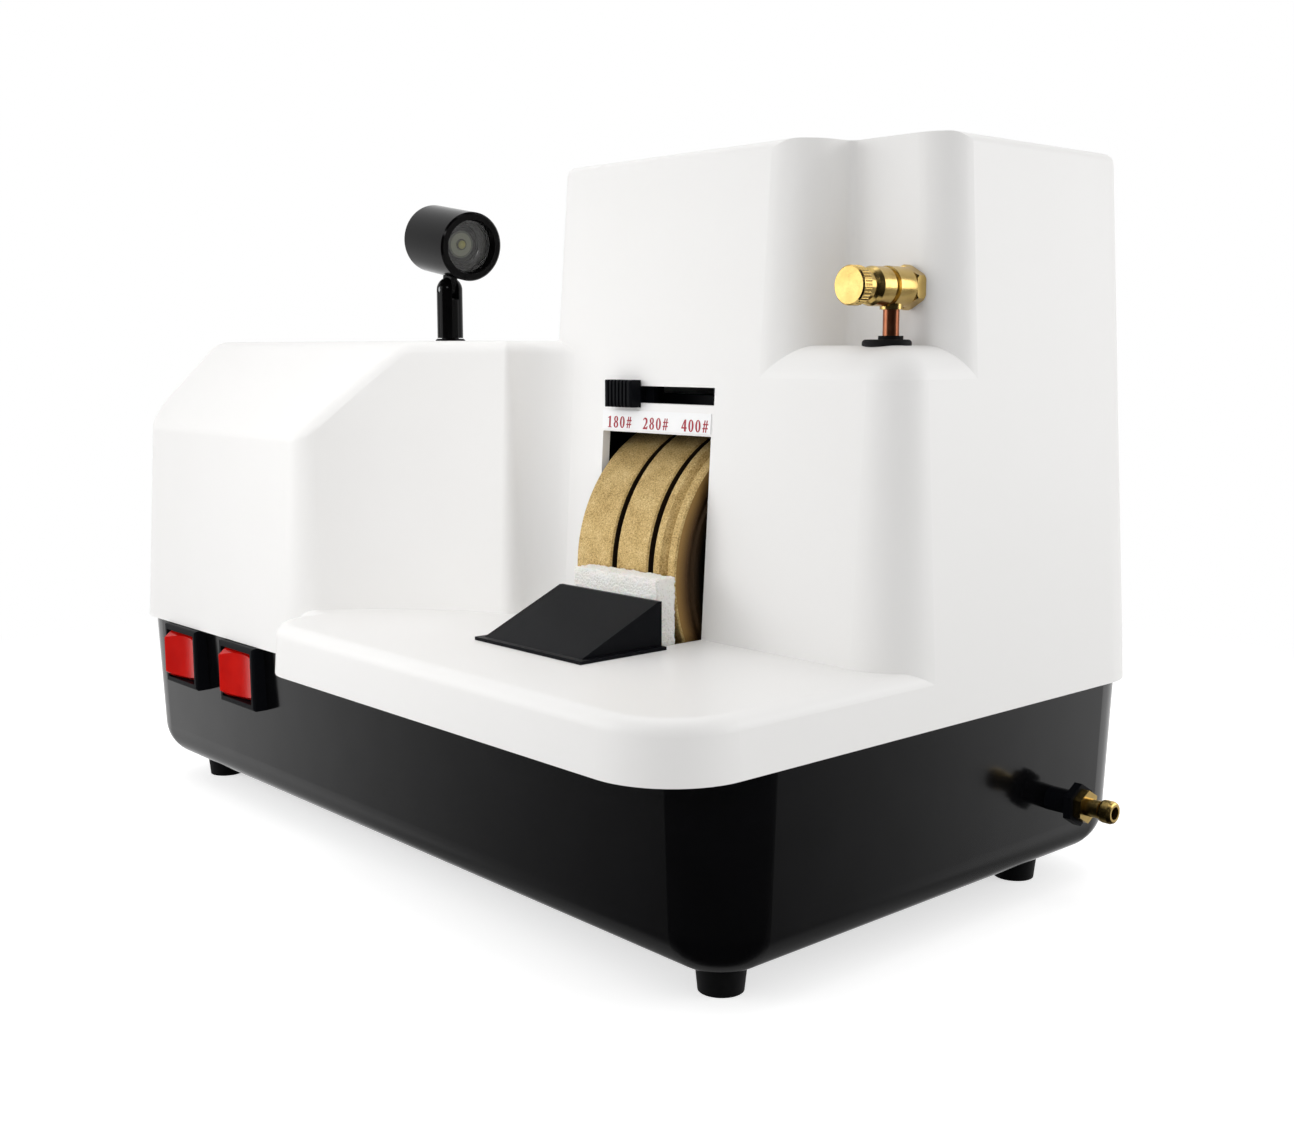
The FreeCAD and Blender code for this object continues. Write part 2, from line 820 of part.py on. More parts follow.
def make_base_tray():
    """Glossy tray with posts for the shell screws, the chassis plate and the wheel chamber."""
    tray = base_outer.cut(base_form(base_wall))
    posts = [rod(Z, Vec(px, py, foot_height), post_radius, base_height) for px, py in corner_posts]
    posts += [rod(Z, Vec(px, py, foot_height), post_radius, plate_rise) for px, py in plate_posts]
    for px in (chamber_left + post_radius, chamber_right - post_radius):
        for py in (chamber_front + post_radius, chamber_back - post_radius):
            posts.append(rod(Z, Vec(px, py, foot_height), post_radius, plate_rise))
    tray = tray.fuse([post.common(base_outer) for post in posts])
    cuts = []
    for px, py in corner_posts:
        cuts.append(rod(Z, Vec(px, py, 0), screw_radius + free_gap, parting_z + over))
        cuts.append(rod(Z, Vec(px, py, 0), screw_head_radius + free_gap, parting_z - screw_grip))
    for px, py in foot_places:
        cuts.append(rod(Z, Vec(px, py, 0), screw_radius + seat_gap, foot_height + base_wall + over))
    for sx in switch_x:
        half_x = rocker_half_x + rocker_room + switch_wall + trim_gap
        half_z = rocker_half_z + free_gap + switch_wall + trim_gap
        cuts.append(box(sx - half_x, sx + half_x, -half_d, -half_d + switch_cut_deep,
                        switch_z - half_z, switch_z + half_z))
    cuts.append(rod(X, Vec(half_w - drill_in, outlet_y, outlet_z), drain_neck + seat_gap, drill_long))
    cuts.append(rod(Y, Vec(gland_x, half_d - drill_in, gland_z), gland_thread + seat_gap, drill_long))
    return placed(tray.cut(Part.makeCompound(cuts)))


def make_feet():
    feet = []
    for px, py in foot_places:
        foot = turned([(0, 0), (0, foot_end_radius), (foot_height, foot_top_radius), (foot_height, 0)],
                      Z, Vec(px, py, 0))
        recess = rod(Z, Vec(px, py, 0), screw_head_radius + free_gap, foot_height - foot_screw_grip)
        hole = rod(Z, Vec(px, py, 0), screw_radius + seat_gap, foot_height)
        feet.append(foot.cut(recess.fuse(hole)))
    return Part.makeCompound(feet)


def make_screw(px, py, seat_z, length):
    """Pan head screw driven upwards, head under seat_z."""
    low = seat_z - screw_head_high
    head = rod(Z, Vec(px, py, low), screw_head_radius, screw_head_high)
    slot = box(px - screw_slot_long / 2, px + screw_slot_long / 2, py - screw_slot_wide / 2,
               py + screw_slot_wide / 2, low, low + screw_slot_deep)
    return placed(head.fuse(rod(Z, Vec(px, py, seat_z), screw_radius, length)).cut(slot))


def make_foot_screws():
    seat = foot_height - foot_screw_grip
    length = foot_screw_grip + base_wall + foot_screw_past
    return Part.makeCompound([make_screw(px, py, seat, length) for px, py in foot_places])


def make_shell_screws():
    seat = parting_z - screw_grip
    return Part.makeCompound([make_screw(px, py, seat, screw_long) for px, py in corner_posts])


def make_upper_shell():
    """One moulding: work shelf, motor box with scoop, hood, tower and tap notch."""
    shell = outer.cut(outer_form(shell_wall))
    opening = flange_width
    mouth = [
        (-half_w + opening, -half_d + opening, corner_round, 0),
        (half_w - opening, -half_d + opening, corner_round, 0),
        (half_w - opening, half_d - opening, corner_round, 0),
        (-half_w + opening, half_d - opening, corner_round, 0),
    ]
    shell = shell.cut(drafted_block(mouth, parting_z - over, parting_z + flange_thick + flange_over))
    bosses = []
    for px, py in corner_posts:
        side = 1 if px > 0 else -1
        reach = post_in_x - shell_wall / 2 - web_short
        boss = rod(Z, Vec(px, py, parting_z), post_radius, boss_high)
        web = box(min(px, px + side * reach), max(px, px + side * reach), py - rib_thick / 2,
                  py + rib_thick / 2, parting_z + flange_thick, parting_z + boss_high)
        bosses.append(boss.fuse(web))
    shell = shell.fuse(bosses)
    pilot = screw_radius + seat_gap
    cuts = [rod(Z, Vec(px, py, parting_z - over), pilot, boss_high) for px, py in corner_posts]
    # wheel window, running forward through the shelf under the sponge holder
    cuts.append(box(window_left, window_right, shelf_cut_front, hood_window_back, parting_z, window_top))
    cuts.append(box(slot_left - free_gap, slot_right + free_gap, hood_front - through,
                    hood_front + 2 * through, slot_low, slot_high))
    cuts.append(rod(Z, Vec(lamp_x, lamp_y, box_z - through), bush_thread + seat_gap, 2 * through))
    cuts.append(rod(Y, Vec(tap_x, notch_y - through, tap_z), tap_spigot + seat_gap, 2 * through))
    cuts.append(rod(Z, Vec(tap_x, pipe_y, notch_z - through), pipe_radius + grommet_seat, 2 * through))
    cuts.append(rod(Z, Vec(filler_x, filler_y, tower_z - through), neck_radius + free_gap, 2 * through))
    for i in range(vent_count):
        vx = vent_left + i * vent_pitch
        cuts.append(box(vx, vx + vent_wide, half_d - 3 * through, half_d + through,
                        vent_low, vent_low + vent_high))
    return placed(shell.cut(Part.makeCompound(cuts)))


def make_chassis_plate():
    plate = box(plate_left, plate_right, -plate_half, plate_half, plate_z, plate_top)
    holes = [rod(Z, Vec(px, py, 0), screw_radius + free_gap, parting_z) for px, py in plate_posts]
    return placed(plate.cut(Part.makeCompound(holes)))


def saddle_places():
    return (motor_left + saddle_in, motor_right - saddle_in - saddle_thick)


def make_motor_cradle():
    """Floor strip with two saddles that carry the motor casing."""
    left, right = saddle_places()
    cradle = box(left, right + saddle_thick, axis_y - saddle_half, axis_y + saddle_half,
                 plate_top, plate_top + cradle_floor)
    for sx in (left, right):
        cradle = cradle.fuse(box(sx, sx + saddle_thick, axis_y - saddle_half, axis_y + saddle_half,
                                 plate_top, saddle_z))
    bed = rod(X, Vec(motor_left, axis_y, axis_z), motor_radius + seat_gap, motor_long)
    return placed(cradle.cut(bed))


def make_motor_straps():
    straps = []
    for sx in saddle_places():
        band = tube(X, Vec(sx, axis_y, axis_z), motor_radius + seat_gap + strap_thick,
                    motor_radius + seat_gap, saddle_thick)
        feet = box(sx, sx + saddle_thick, axis_y - saddle_half, axis_y + saddle_half,
                   saddle_z, saddle_z + strap_thick)
        bed = rod(X, Vec(sx - over, axis_y, axis_z), motor_radius + seat_gap, saddle_thick + 2 * over)
        above = box(sx, sx + saddle_thick, axis_y - saddle_half, axis_y + saddle_half,
                    saddle_z, axis_z + 2 * motor_radius)
        straps.append(placed(band.common(above).fuse(feet.cut(bed))))
    return Part.makeCompound(straps)


def on_axis(x):
    return Vec(x, axis_y, axis_z)


def make_motor_casing():
    return tube(X, on_axis(motor_left), motor_radius, motor_radius - motor_wall, motor_long)


def make_stator():
    return tube(X, on_axis(motor_left + stator_end_room), motor_radius - motor_wall - seat_gap,
                rotor_radius + rotor_air, motor_long - 2 * stator_end_room)


def make_end_bell(left):
    """Cup-shaped end cover with the bearing seat in its middle; left is -1 or +1 by side."""
    radius = motor_radius
    bore = bearing_radius + seat_gap
    lip = journal_radius + bell_lip
    profile = [(0, bore), (0, radius), (bell_long * bell_straight, radius), (bell_long, radius * bell_nose),
               (bell_long, lip), (bearing_wide, lip), (bearing_wide, bore)]
    start = on_axis(motor_left if left < 0 else motor_right)
    return turned(profile, X * left, start)


def make_bearing(left):
    start = on_axis(motor_left if left < 0 else motor_right)
    section = ring_profile(0, bearing_wide, bearing_radius, journal_radius + run_gap, bearing_chamfer)
    return turned(section, X * left, start)


def make_rotor():
    return tube(X, on_axis(motor_left + rotor_end_room), rotor_radius, shaft_radius + seat_gap,
                motor_long - 2 * rotor_end_room)


def make_arbor_shaft():
    """Motor shaft carried through to the wheel clamp nut."""
    left = motor_left - bell_long - shaft_tail
    profile = [(left, 0), (left, journal_radius), (motor_left + shaft_shoulder, journal_radius),
               (motor_left + shaft_shoulder, shaft_radius), (motor_right - shaft_shoulder, shaft_radius),
               (motor_right - shaft_shoulder, journal_radius),
               (motor_right + bell_long + shaft_shoulder, journal_radius),
               (motor_right + bell_long + shaft_shoulder, shaft_radius), (wheels_right, shaft_radius),
               (wheels_right, thread_radius), (shaft_end - shaft_chamfer, thread_radius),
               (shaft_end, thread_radius - shaft_chamfer),
               (shaft_end, 0)]
    return turned(profile, X, on_axis(0))


def make_wheel(index):
    """Diamond wheel on a brass core; the last one has the bevel groove and a stepped face."""
    x0 = wheel_starts[index]
    thick = wheel_thick[index]
    bore = shaft_radius + seat_gap
    last = index == len(wheel_thick) - 1
    profile = [(0, bore), (0, wheel_radius - wheel_chamfer), (wheel_chamfer, wheel_radius)]
    if last:
        middle = thick / 2
        profile += [(middle - bevel_groove, wheel_radius), (middle, wheel_radius - bevel_groove),
                    (middle + bevel_groove, wheel_radius)]
    profile += [(thick - wheel_chamfer, wheel_radius), (thick, wheel_radius - wheel_chamfer)]
    if last:
        floor = thick - face_ring_deep
        for inward in face_rings:
            radius = wheel_radius - inward
            profile += [(thick, radius), (floor, radius - face_ring_slope),
                        (floor, radius - face_ring_wide + face_ring_slope), (thick, radius - face_ring_wide)]
    profile += [(thick, bore)]
    return turned(profile, X, on_axis(x0))


def make_wheel_spacers():
    rings = []
    for index in range(len(wheel_thick) - 1):
        x0 = wheel_starts[index] + wheel_thick[index]
        rings.append(tube(X, on_axis(x0), spacer_radius, shaft_radius + seat_gap, wheel_gap))
    return Part.makeCompound(rings)


def make_inner_flange():
    bore = shaft_radius + seat_gap
    profile = [(0, bore), (0, flange_radius * flange_hub), (inner_flange / 2, flange_radius),
               (inner_flange, flange_radius), (inner_flange, bore)]
    return turned(profile, X, on_axis(wheels_left - inner_flange))


def make_outer_flange():
    bore = thread_radius + seat_gap
    profile = [(0, bore), (0, flange_radius), (outer_flange / 2, flange_radius),
               (outer_flange, flange_radius * flange_nose), (outer_flange, bore)]
    return turned(profile, X, on_axis(wheels_right))


def make_arbor_nut():
    nut = hexagon(X, on_axis(wheels_right + outer_flange), nut_across, nut_high)
    return placed(nut.cut(rod(X, on_axis(wheels_right), thread_radius + seat_gap, 2 * nut_high)))


def make_wheel_chamber():
    """Open-topped splash box under and behind the wheels, with the drain stub low at its back."""
    w = chamber_wall
    low = plate_z
    span = chamber_right - chamber_left
    outside = [(chamber_front, low), (chamber_back, low), (chamber_back, chamber_roof_z),
               (roof_front, chamber_roof_z), (roof_front, chamber_sides_z), (hood_inside, chamber_sides_z),
               (hood_inside, shelf_under), (chamber_front, shelf_under)]
    inside = [(chamber_front + w, low + w), (chamber_back - w, low + w),
              (chamber_back - w, chamber_roof_z - w),
              (roof_front, chamber_roof_z - w), (roof_front, chamber_roof_z + w),
              (hood_inside - chamber_step, chamber_roof_z + w), (hood_inside - chamber_step, shelf_under + w),
              (chamber_front + w, shelf_under + w)]
    body = prism(outside, X, chamber_left, span).cut(prism(inside, X, chamber_left + w, span - 2 * w))
    stub = rod(X, Vec(chamber_right - over, outlet_y, outlet_z), outlet_radius, outlet_long + over)
    body = body.fuse(stub)
    cuts = [rod(X, Vec(chamber_right - w - over, outlet_y, outlet_z), outlet_radius - stub_wall,
                outlet_long + w + 2 * over),
            rod(X, on_axis(chamber_left - over), seal_radius + seat_gap, w + 2 * over)]
    return placed(body.cut(Part.makeCompound(cuts)))


def make_shaft_seal():
    """Lip seal in the chamber's left wall, round the shaft."""
    lip = shaft_radius + run_gap
    front = chamber_wall + seal_lip
    profile = [(0, lip + seal_lip_room), (0, seal_radius), (chamber_wall, seal_radius),
               (chamber_wall, seal_radius + seal_flange), (front, seal_radius + seal_flange), (front, lip),
               (chamber_wall - seal_lip, lip)]
    return turned(profile, X, on_axis(chamber_left))


# ---------------------------------------------------------------- sponge pieces
def make_sponge_holder():
    """Hollow wedge on the shelf with a tray behind it that hangs through the shelf opening."""
    lip_z = shelf_z + lip_thick
    top = shelf_z + holder_rise
    wedge = [(holder_front, shelf_z), (holder_back, shelf_z), (holder_back, top),
             (holder_back - ridge_wide, top), (holder_front, lip_z)]
    w = holder_wall
    slope = (top - lip_z) / (holder_back - ridge_wide - holder_front)
    hollow_front = holder_front + hollow_in
    hollow = [(hollow_front, shelf_z - over), (holder_back - w, shelf_z - over),
              (holder_back - w, lip_z + slope * (holder_back - w - holder_front) - slope_wall),
              (hollow_front, lip_z + slope * (hollow_front - holder_front) - slope_wall)]
    body = prism(wedge, X, holder_left, holder_right - holder_left)
    lip = box(holder_left - lip_wide, holder_right + lip_wide, holder_front - lip_wide, holder_back,
              shelf_z, lip_z)
    body = body.fuse(lip)
    body = body.cut(prism(hollow, X, holder_left + w, holder_right - holder_left - 2 * w))
    back = box(sponge_left, sponge_right, holder_back - w, holder_back, tray_low, shelf_z + w)
    floor = box(sponge_left, sponge_right, holder_back - w, sponge_back, tray_low, tray_low + w)
    return placed(body.fuse([back, floor]))


def make_sponge():
    block = box(sponge_left, sponge_right, sponge_front, sponge_back, tray_low + holder_wall, sponge_z)
    return block.makeFillet(sponge_round, edges_at(block, sponge_z))


# ---------------------------------------------------------------- grit selector pieces
def make_slider_knob():
    """Ribbed thumb piece in front of the slot."""
    face = hood_face(slot_mid) - free_gap - (knob_high - slot_mid) * hood_lean
    knob = box(slot_left, slot_left + knob_wide, face - knob_reach, face, knob_low, knob_high)
    corners = [e for e in knob.Edges if abs(e.BoundBox.YMax - (face - knob_reach)) < 1e-3]
    knob = knob.makeFillet(knob_round, corners)
    pitch = (knob_wide - 2 * knob_border) / knob_ribs
    grooves = []
    for i in range(knob_ribs):
        gx = slot_left + knob_border + (i + 0.25) * pitch
        grooves.append(box(gx, gx + pitch / 2, face - knob_reach - over, face - knob_reach + knob_rib_deep,
                           knob_low - over, knob_high + over))
    knob = knob.cut(Part.makeCompound(grooves))
    neck = box(slot_left + neck_in, slot_left + knob_wide - neck_in, face, slide_plate_y,
               slot_mid - neck_half, slot_mid + neck_half)
    return placed(knob.fuse(neck))


def make_drip_carriage():
    """Slide plate behind the hood wall, arm, and the open trough with the drip nozzle."""
    mid_x = slot_left + knob_wide / 2
    plate = box(slot_left - slide_plate_extra, slot_left + knob_wide + slide_plate_extra, slide_plate_y,
                slide_plate_y + slide_plate_thick, slot_mid - slide_plate_half, slot_mid + slide_plate_half)
    front = pipe_y - trough_wide / 2
    x0 = mid_x - trough_wall - nozzle_radius
    top = trough_low + trough_deep
    trough = box(x0, x0 + trough_long, front, front + trough_wide, trough_low, top)
    arm = box(mid_x - arm_half, mid_x + arm_half, slide_plate_y + slide_plate_thick, front,
              slot_mid - neck_half, slot_mid + neck_half)
    nozzle = rod(Z, Vec(mid_x, pipe_y, trough_low - nozzle_drop), nozzle_radius, nozzle_drop + over)
    body = plate.fuse([trough, arm, nozzle])
    w = trough_wall
    room = box(x0 + w, x0 + trough_long - w, front + w, front + trough_wide - w, trough_low + w, top + over)
    drip = rod(Z, Vec(mid_x, pipe_y, trough_low - nozzle_drop - over), nozzle_bore,
               nozzle_drop + w + 2 * over)
    return placed(body.cut(room).cut(drip))


def make_slider_rail():
    """Frame behind the slot that keeps the slide plate against the hood wall."""
    low = slot_mid - slide_plate_half - free_gap
    high = slot_mid + slide_plate_half + free_gap
    sheet = box(rail_left, rail_right, rail_y, rail_y + rail_thick, low - rail_rib, high + rail_rib)
    sheet = sheet.cut(box(slot_left, slot_right, rail_y - over, rail_y + rail_thick + over,
                          slot_low - rail_room, slot_high + rail_room))
    ribs = []
    for z0 in (low - rail_rib, high):
        face = hood_face(z0) + shell_wall
        upper = hood_face(z0 + rail_rib) + shell_wall
        rib = [(face + seat_gap, z0), (rail_y, z0), (rail_y, z0 + rail_rib),
               (upper + seat_gap, z0 + rail_rib)]
        ribs.append(prism(rib, X, rail_left, rail_right - rail_left))
    return placed(sheet.fuse(ribs))


def make_grit_label():
    """Thin strip under the slot on which the grit numbers are printed."""
    low = hood_face(label_low)
    high = hood_face(label_high)
    strip = [(low, label_low), (high, label_high), (high - label_thick, label_high),
             (low - label_thick, label_low)]
    return prism(strip, X, window_left, window_wide)


# ---------------------------------------------------------------- water pieces
def make_copper_tube():
    """Tube from the tap, straight down through the notch floor and bent over the trough."""
    knee_z = pipe_low + pipe_bend
    knee_x = tap_x - pipe_bend

    def run(radius):
        upright = rod(Z, Vec(tap_x, pipe_y, knee_z), radius, pipe_top - knee_z)
        level = rod(X, Vec(pipe_end_x, pipe_y, pipe_low), radius, knee_x - pipe_end_x)
        disc = Part.Face(Part.Wire(Part.makeCircle(radius, Vec(tap_x, pipe_y, knee_z), Z)))
        bend = disc.revolve(Vec(knee_x, pipe_y, knee_z), Y, 90)
        return upright.fuse([bend, level])
    return placed(run(pipe_radius).cut(run(pipe_bore)))


def make_tube_grommet():
    """Oval rubber grommet that drapes over the rounded notch floor."""
    middle = Vec(tap_x, pipe_y - grommet_forward, notch_z - grommet_below)
    oval = Part.Face(Part.Wire(Part.Ellipse(middle, grommet_long / 2, grommet_wide / 2).toShape()))
    pad = oval.extrude(Z * (grommet_below + grommet_high))
    pad = pad.makeFillet(grommet_round, edges_at(pad, notch_z + grommet_high))
    pad = pad.cut(outer)
    collar = rod(Z, Vec(tap_x, pipe_y, notch_z + grommet_high - over), pipe_radius + collar_wall, collar_long)
    plug = rod(Z, Vec(tap_x, pipe_y, notch_z - shell_wall - over), pipe_radius + grommet_seat - seat_gap,
               shell_wall + 2 * over)
    body = pad.fuse([collar, plug])
    return placed(body.cut(rod(Z, Vec(tap_x, pipe_y, 0), pipe_radius + seat_gap, tower_z)))


def from_wall(along):
    """Point on the tap axis, that far in front of the notch wall."""
    return Vec(tap_x, notch_y - along, tap_z)


def make_tap_nut():
    nut = hexagon(-Y, from_wall(0), tap_nut_across, tap_nut_thick)
    edge = tap_nut_across * nut_bevel_start
    widest = tap_nut_across * nut_bevel_end
    bevel = turned([(0, 0), (0, edge), (nut_bevel, widest), (tap_nut_thick - nut_bevel, widest),
                    (tap_nut_thick, edge), (tap_nut_thick, 0)], -Y, from_wall(0))
    hole = rod(-Y, from_wall(-over), tap_spigot + seat_gap, tap_nut_thick + 2 * over)
    return placed(nut.common(bevel).cut(hole))


def make_tap_body():
    """Turned brass valve body with its spigot into the tank and the outlet boss underneath."""
    a = tap_nut_thick
    r = tap_body_radius
    waist = a + tap_waist_at
    front = a + tap_body_long
    profile = [(-tap_spigot_long, 0), (-tap_spigot_long, tap_spigot), (a, tap_spigot), (a, r - tap_edge),
               (a + tap_edge, r), (waist - tap_edge, r), (waist, r - tap_waist_deep),
               (waist + tap_waist_wide, r - tap_waist_deep), (waist + tap_waist_wide + 0.5, r - tap_front_in)]
    profile += [(front - back, r - inward) for back, inward in tap_nose] + [(front, 0)]
    body = turned(profile, -Y, from_wall(0))
    body = body.fuse(rod(-Z, Vec(tap_x, pipe_y, tap_z), pipe_radius + outlet_boss_wall, tap_boss_drop))
    socket = rod(-Z, Vec(tap_x, pipe_y, pipe_top), pipe_radius + seat_gap, tube_socket)
    stem = rod(Y, from_wall(front + over), tap_bore + run_gap, tap_stem_long + 2 * over)
    inlet = rod(-Y, from_wall(-tap_spigot_long - over), inlet_radius, tap_spigot_long + 4 * over)
    return placed(body.cut(Part.makeCompound([socket, stem, inlet])))


def make_tap_back_nut():
    start = from_wall(-shell_wall - back_nut_gap)
    nut = hexagon(Y, start, back_nut_across, back_nut_thick)
    return placed(nut.cut(rod(Y, start - Y, tap_spigot + seat_gap, back_nut_thick + 2 * over)))


def make_tap_bonnet():
    """Knurled gland ring between the valve body and its knob."""
    start = from_wall(tap_nut_thick + tap_body_long)
    return turned(ring_profile(0, bonnet_long, bonnet_radius, tap_bore + run_gap, tap_edge), -Y, start)


def make_tap_knob():
    """Fluted knob with its valve stem."""
    start = from_wall(tap_nut_thick + tap_body_long + bonnet_long + free_gap)
    r = tap_knob_radius
    t = tap_knob_thick
    profile = [(-tap_stem_long, 0), (-tap_stem_long, tap_bore), (0, tap_bore), (0, r - knob_edge),
               (knob_edge, r), (t - knob_edge, r), (t, r - knob_edge), (t, 0)]
    knob = turned(profile, -Y, start)
    flutes = []
    for i in range(tap_flutes):
        angle = math.radians(360 * i / tap_flutes)
        middle = start + Vec(math.cos(angle), 0, math.sin(angle)) * (r + tap_flute_out)
        flutes.append(rod(-Y, middle + Y, tap_flute_radius, t + 0.2))
    return placed(knob.cut(Part.makeCompound(flutes)))


def tank_outline(inset):
    r = tank_round - inset
    back = tank_back_round - inset
    x0, x1 = tank_left + inset, tank_right - inset
    y0, y1 = tank_front + inset, tank_back - inset
    return [(x0, y0, r, 0), (x1, y0, r, 0), (x1, y1, back, 0), (x0, y1, back, 0)]


def make_water_tank():
    """Moulded tank that hangs by its filler neck in the tower top and feeds the tap."""
    w = tank_wall
    body = drafted_block(tank_outline(0), tank_low, tank_high)
    body = body.fuse(rod(Z, Vec(filler_x, filler_y, tank_high - over), neck_radius,
                         tower_z + ring_high - tank_high + over))
    hollow = drafted_block(tank_outline(w), tank_low + w, tank_high - w)
    throat = rod(Z, Vec(filler_x, filler_y, tank_high - w - over), neck_radius - neck_wall, tower_z)
    tap_hole = rod(Y, Vec(tap_x, tank_front - over, tap_z), tap_spigot + seat_gap, w + 2 * over)
    return placed(body.cut(hollow.fuse(throat)).cut(tap_hole))


def make_filler_ring():
    return tube(Z, Vec(filler_x, filler_y, tower_z), neck_radius + ring_wide, neck_radius + seat_gap,
                ring_high)


def make_filler_cap():
    """Push-in cap with a finger rim."""
    seat = tower_z + ring_high + free_gap
    plug = neck_radius - neck_wall - free_gap
    dish = cap_high - cap_dish
    profile = [(-plug_deep, 0), (-plug_deep, plug - cap_edge), (-plug_deep + cap_edge, plug), (0, plug),
               (0, cap_radius), (cap_high - cap_edge, cap_radius), (cap_high, cap_radius - cap_edge),
               (cap_high, cap_radius - cap_rim), (dish, cap_radius - cap_rim - cap_edge), (dish, 0)]
    return turned(profile, Z, Vec(filler_x, filler_y, seat))


# ---------------------------------------------------------------- switch pieces
def make_switch_housing(index):
    """Rocker switch frame and body, clipped into the front wall of the base."""
    sx = switch_x[index]
    room_x = rocker_half_x + rocker_room
    room_z = rocker_half_z + free_gap
    frame = box(sx - bezel_wide / 2, sx + bezel_wide / 2, bezel_y, -base_half_d + bezel_into,
                switch_z - bezel_high / 2, switch_z + bezel_high / 2)
    rims = [e for e in frame.Edges if abs(e.BoundBox.YMax - bezel_y) < 1e-3]
    frame = frame.makeFillet(bezel_round, rims)
    frame = frame.cut(base_outer)
    back = bezel_y + switch_body_deep
    body = box(sx - room_x - switch_wall, sx + room_x + switch_wall, -base_half_d - over, back,
               switch_z - room_z - switch_wall, switch_z + room_z + switch_wall)
    pocket = box(sx - room_x, sx + room_x, bezel_y - over, back - switch_floor,
                 switch_z - room_z, switch_z + room_z)
    pins = [box(sx + px - pin_thick / 2, sx + px + pin_thick / 2, back - over, back + pin_long,
                switch_z - pin_wide / 2, switch_z + pin_wide / 2) for px in pin_x]
    whole = frame.fuse([body] + pins).cut(pocket)
    pivot = rod(Z, Vec(sx, pivot_y, switch_z - room_z - over), rocker_pin, 2 * room_z + 2 * over)
    return placed(whole.fuse(pivot))


def make_rocker(index):
    """Red rocker, tipped with its right half pressed in."""
    sx = switch_x[index]
    w = rocker_half_x
    u = rocker_half_x + rocker_swell
    foot_x, foot_y = rocker_foot
    points = [(-w, -rocker_face), (w, -rocker_face), (u, -rocker_waist), (foot_x, foot_y), (-foot_x, foot_y),
              (-u, -rocker_waist)]
    section = [(sx + px, pivot_y + py) for px, py in points]
    body = prism(section, Z, switch_z - rocker_half_z, 2 * rocker_half_z)
    dish_radius = (w ** 2 + rocker_dish ** 2) / (2 * rocker_dish)
    dish = rod(Z, Vec(sx, pivot_y - rocker_face + rocker_dish - dish_radius, 0), dish_radius, parting_z)
    body = body.cut(dish)
    lip = pivot_y - rocker_face - over
    for side in (-1, 1):
        edge = switch_z + side * (rocker_half_z + over)
        low = edge - side * (rocker_cheek + 2 * over)
        bevel = [(lip, edge), (lip + rocker_cheek + 2 * over + rocker_dish, edge), (lip, low)]
        body = body.cut(prism(bevel, X, sx - w - over, 2 * w + 2 * over))
    body = body.cut(rod(Z, Vec(sx, pivot_y, 0), rocker_pin + run_gap, 2 * parting_z))
    body.rotate(Vec(sx, pivot_y, 0), Z, rocker_throw)
    return placed(body)


# ---------------------------------------------------------------- lamp pieces
def aimed(shape):
    turned_shape = shape.copy()
    turned_shape.rotate(Vec(lamp_x, lamp_y, 0), Z, lamp_aim)
    return turned_shape


def tipped(shape):
    tipped_shape = shape.copy()
    tipped_shape.rotate(Vec(lamp_x, lamp_y, pivot_z), Y, lamp_tip)
    return aimed(tipped_shape)


def make_lamp_bush():
    """Chromed bush in the lid, in which the lamp stem swivels."""
    bore = spigot_radius + run_gap
    low = -shell_wall - bush_nut_thick - bush_past_nut
    profile = [(low, bore), (low, bush_thread), (0, bush_thread), (0, bush_radius),
               (bush_high - bush_edge, bush_radius), (bush_high, bush_radius - bush_edge), (bush_high, bore)]
    return turned(profile, Z, Vec(lamp_x, lamp_y, box_z))


def make_lamp_bush_nut():
    low = box_z - shell_wall - bush_nut_thick - seat_gap
    nut = hexagon(Z, Vec(lamp_x, lamp_y, low), bush_nut_across, bush_nut_thick)
    hole = rod(Z, Vec(lamp_x, lamp_y, low - over), bush_thread + seat_gap, bush_nut_thick + 2 * over)
    return placed(nut.cut(hole))


def make_lamp_stem():
    """Stem with a slotted, domed top that holds the lamp's tongue."""
    low = box_z + bush_high + free_gap
    stem = rod(Z, Vec(lamp_x, lamp_y, low), stem_radius, stem_long)
    dome = Part.makeSphere(stem_radius, Vec(lamp_x, lamp_y, pivot_z))
    spigot = rod(Z, Vec(lamp_x, lamp_y, low - spigot_long), spigot_radius, spigot_long + over)
    body = stem.fuse([dome, spigot])
    slot_half = tongue_thick / 2 + free_gap / 2
    slot = box(lamp_x - through, lamp_x + through, lamp_y - slot_half, lamp_y + slot_half,
               pivot_z - tongue_half - 2 * free_gap, pivot_z + through)
    pin = rod(Y, Vec(lamp_x, lamp_y - through, pivot_z), pivot_radius + seat_gap, 2 * through)
    return aimed(placed(body.cut(slot.fuse(pin))))


def make_lamp_pivot_screw():
    half = math.sqrt(stem_radius ** 2 - pivot_radius ** 2) - screw_under
    return aimed(rod(Y, Vec(lamp_x, lamp_y - half, pivot_z), pivot_radius, 2 * half))


